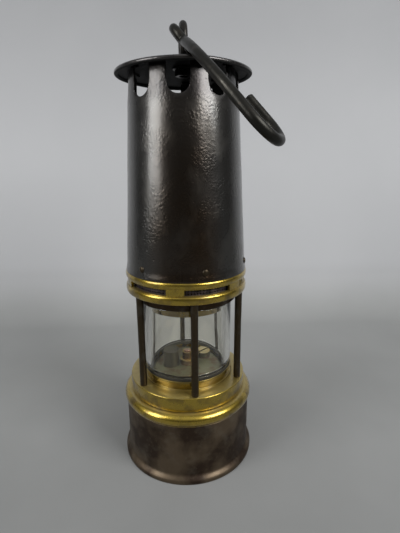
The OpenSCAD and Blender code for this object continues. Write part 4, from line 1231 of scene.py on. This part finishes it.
class LAMP_OT_hook(Operator):
    """Dress the swivel with its eye and the hook that hangs from it, each forged from one rod"""

    bl_idname = "lamp.hook"
    bl_label = "Swivel and hook"

    def execute(self, context):
        sizes = context.scene.lamp_hook
        colours = context.scene.lamp_finishes
        cap_top = levels("cap")[1]
        eye = Vector((0.0, 0.0, cap_top + sizes.eye_up))
        swivel_iron = material_of(forged_iron, "swivel_iron", linear("#2b2926"))

        base = cap_top + 0.1 * MM
        collar_top = base + sizes.collar_height
        neck_top = eye.z - sizes.eye_radius
        outline = [(0.0, base), (sizes.collar_radius, base, 0.4 * MM), (sizes.collar_radius, collar_top, 0.6 * MM)]
        outline += [(sizes.neck_radius, collar_top, 0.5 * MM), (sizes.neck_radius, neck_top), (0.0, neck_top)]
        neck = turned("swivel_post", eased(outline, 0.2 * MM), sides=SMALL_SIDES)
        ring_place = Matrix.Translation(eye) @ Matrix.Rotation(sizes.eye_bearing, 4, "Z")
        ring_place @= Matrix.Rotation(pi / 2, 4, "Y")
        wire = arc(sizes.eye_radius, 0.0, sizes.swivel_wire / 2, 0, 345, 23)
        ring = turned("swivel_ring", wire, [ring_place], 72)
        joined = bmesh.new()
        joined.from_mesh(neck)
        joined.from_mesh(ring)
        swivel = piece("swivel_eye", finished("swivel_eye", joined), swivel_iron, "swivel", "dark_iron", "swivel")
        forge = swivel.modifiers.new("forge", "REMESH")
        forge.voxel_size = 0.3 * MM
        smooth = swivel.modifiers.new("smooth", "SMOOTH")
        smooth.iterations = 4
        settled(swivel)

        points = self.hook_line(sizes, eye)
        rod = swept("carrying_hook", points, sizes.rod / 2 - 0.01 * MM, 0.6 * MM)
        hook_iron = material_of(forged_iron, "hook_iron", linear("#272622"))
        piece("carrying_hook", rod, hook_iron, "hook", "dark_iron", "hook")
        return {"FINISHED"}

    def hook_line(self, sizes, eye):
        """The hook's centreline: round its eye, through a short turn, along the bowed shank and round the bend."""
        rod = sizes.rod / 2
        turn_x = sqrt(sizes.eye_radius ** 2 + 2 * sizes.eye_radius * sizes.turn_radius)
        turn_angle = asin(turn_x / (sizes.eye_radius + sizes.turn_radius))
        out = sizes.eye_radius + rod
        away = sizes.eye_radius + sizes.turn_radius
        stop = sizes.turn_radius + rod + sizes.gap
        start = acos((out ** 2 + away ** 2 - stop ** 2) / (2 * out * away)) - pi / 2 + turn_angle
        points = [Vector((sizes.eye_radius * cos(start), sizes.eye_radius * sin(start), 0.0))]
        along = Vector((-sin(start), cos(start), 0.0))
        into = Vector((-cos(start), -sin(start), 0.0))
        along, into = self.bent(points, along, into, sizes.eye_radius, 3 * pi / 2 + turn_angle - start, 72)
        along, into = self.bent(points, along, -into, sizes.turn_radius, turn_angle, 12)
        along, into = self.bent(points, along, -into, sizes.shank / sizes.bow, sizes.bow, 40)
        into = Matrix.Rotation(sizes.twist, 3, along) @ into
        along, into = self.bent(points, along, into, sizes.bend_radius, sizes.bend, 48)
        tail = points[-1]
        points += [tail + along * sizes.tail * i / 8 for i in range(1, 9)]
        hang = Vector((sin(sizes.eye_bearing), -cos(sizes.eye_bearing), 0.0)) * cos(sizes.link_dip)
        hang.z = -sin(sizes.link_dip)
        place = Matrix.Translation(eye + hang * sizes.eye_radius)
        place @= Matrix.Rotation(sizes.bearing - pi / 2, 4, "Z") @ Matrix.Rotation(sizes.dip, 4, "Y")
        place @= Matrix.Rotation(sizes.roll - pi / 2, 4, "X")
        return [place @ point for point in points]

    def bent(self, points, along, into, radius, turn, steps):
        """Adds an arc to a centreline and returns the directions along and into it at its end."""
        middle = points[-1] + into * radius
        for i in range(1, steps + 1):
            share = turn * i / steps
            points.append(middle + (along * sin(share) - into * cos(share)) * radius)
        return along * cos(turn) + into * sin(turn), into * cos(turn) - along * sin(turn)


class LAMP_OT_studio(Operator):
    """Set up the studio: grey paper under and behind the lamp, two soft lights and the camera"""

    bl_idname = "lamp.studio"
    bl_label = "Studio"

    def execute(self, context):
        sizes = context.scene.lamp_studio
        scene = context.scene
        self.paper(sizes, context)
        self.light("window_left", -60, 620, 420, 0.3, 0.46, 2.8)
        self.light("window_right", 50, 640, 540, 0.38, 0.34, 4.7)
        scene.world = self.room()
        scene.view_settings.view_transform = "Standard"

        data = bpy.data.cameras.new("camera")
        data.sensor_fit = "AUTO"
        data.sensor_width = sizes.sensor / MM
        data.lens = sizes.lens / MM
        data.clip_start = 0.01
        camera = bpy.data.objects.new("camera", data)
        scene.collection.objects.link(camera)
        place = Matrix.Translation((0.0, -sizes.camera_back, sizes.camera_up))
        place @= Matrix.Rotation(-sizes.camera_yaw, 4, "Z")
        place @= Matrix.Rotation(pi / 2 - sizes.camera_pitch, 4, "X")
        place @= Matrix.Rotation(sizes.camera_roll, 4, "Z")
        camera.matrix_world = place
        scene.camera = camera
        return {"FINISHED"}

    def room(self):
        """The room around the paper: a light ceiling over darker walls."""
        world = bpy.data.worlds.new("room")
        world.use_nodes = True
        tree = world.node_tree
        tree.nodes.clear()
        way = add_node(tree, "ShaderNodeTexCoord").outputs["Generated"]
        up = add_node(tree, "ShaderNodeSeparateXYZ", {"Vector": way}).outputs["Z"]
        ceiling = add_node(tree, "ShaderNodeMapRange", {"Value": up, "From Min": 0.3, "From Max": 0.75}).outputs["Result"]
        colour = blended(tree, ceiling, linear("#5c5b59"), linear("#e6e8ea"))
        light = add_node(tree, "ShaderNodeBackground", {"Color": colour, "Strength": 0.66})
        add_node(tree, "ShaderNodeOutputWorld", {"Surface": light.outputs[0]})
        return world

    def paper(self, sizes, context):
        """One sheet of paper that lies flat and curves up behind the lamp."""
        steps = 16
        outline = [(-sizes.paper_front, 0.0)]
        for i in range(steps + 1):
            turn = pi / 2 * i / steps
            rise = sizes.paper_curve * (1 - cos(turn))
            outline.append((sizes.paper_fold + sizes.paper_curve * sin(turn), rise))
        outline.append((sizes.paper_fold + sizes.paper_curve, sizes.paper_height))
        shape = bmesh.new()
        left = [shape.verts.new((-sizes.paper_reach, y, z)) for y, z in outline]
        right = [shape.verts.new((sizes.paper_reach, y, z)) for y, z in outline]
        for i in range(len(outline) - 1):
            shape.faces.new((left[i], right[i], right[i + 1], left[i + 1]))
        sheet = bpy.data.objects.new("paper", finished("paper", shape, mend=False))
        sheet.data.materials.append(material_of(studio_paper, context.scene.lamp_finishes))
        context.scene.collection.objects.link(sheet)

    def light(self, name, bearing, distance, height, width, tall, power):
        """A soft window light at a bearing from the camera side, turned to the lamp's middle."""
        data = bpy.data.lights.new(name, "AREA")
        data.shape = "RECTANGLE"
        data.size = width
        data.size_y = tall
        data.energy = power
        lamp = bpy.data.objects.new(name, data)
        bpy.context.scene.collection.objects.link(lamp)
        spot = at_bearing(radians(bearing), distance * MM, height * MM)
        aim = Vector((0.0, 0.0, 0.13)) - spot
        lamp.matrix_world = Matrix.Translation(spot) @ aim.to_track_quat("-Z", "Y").to_matrix().to_4x4()


class LAMP_PT_lamp(Panel):
    """Lists the lamp's pieces and their sizes"""

    bl_idname = "LAMP_PT_lamp"
    bl_label = "Miner's lamp"
    bl_space_type = "VIEW_3D"
    bl_region_type = "UI"
    bl_category = "Lamp"

    def draw(self, context):
        for operator in OPERATORS:
            self.layout.operator(operator.bl_idname)
        for name, group in SIZE_GROUPS.items():
            box = self.layout.box()
            box.label(text=group.__doc__)
            for key in group.__annotations__:
                box.prop(getattr(context.scene, name), key)


OPERATORS = (
    LAMP_OT_fuel_vessel,
    LAMP_OT_burner,
    LAMP_OT_works,
    LAMP_OT_soft_parts,
    LAMP_OT_cage,
    LAMP_OT_glass,
    LAMP_OT_gauzes,
    LAMP_OT_air_ring,
    LAMP_OT_bonnet,
    LAMP_OT_cap,
    LAMP_OT_hook,
    LAMP_OT_studio,
)

SIZE_GROUPS = {
    "lamp_vessel": VesselSizes,
    "lamp_cage": CageSizes,
    "lamp_air_ring": AirRingSizes,
    "lamp_bonnet": BonnetSizes,
    "lamp_cap": CapSizes,
    "lamp_hook": HookSizes,
    "lamp_finishes": Finishes,
    "lamp_studio": StudioSizes,
}


def register():
    for name, group in SIZE_GROUPS.items():
        bpy.utils.register_class(group)
        setattr(bpy.types.Scene, name, PointerProperty(type=group))
    for kind in (*OPERATORS, LAMP_PT_lamp):
        bpy.utils.register_class(kind)


def unregister():
    for kind in reversed((*OPERATORS, LAMP_PT_lamp)):
        bpy.utils.unregister_class(kind)
    for name, group in SIZE_GROUPS.items():
        delattr(bpy.types.Scene, name)
        bpy.utils.unregister_class(group)


def main():
    register()
    for operator in OPERATORS:
        group, name = operator.bl_idname.split(".")
        getattr(getattr(bpy.ops, group), name)()


if __name__ == "__main__":
    main()
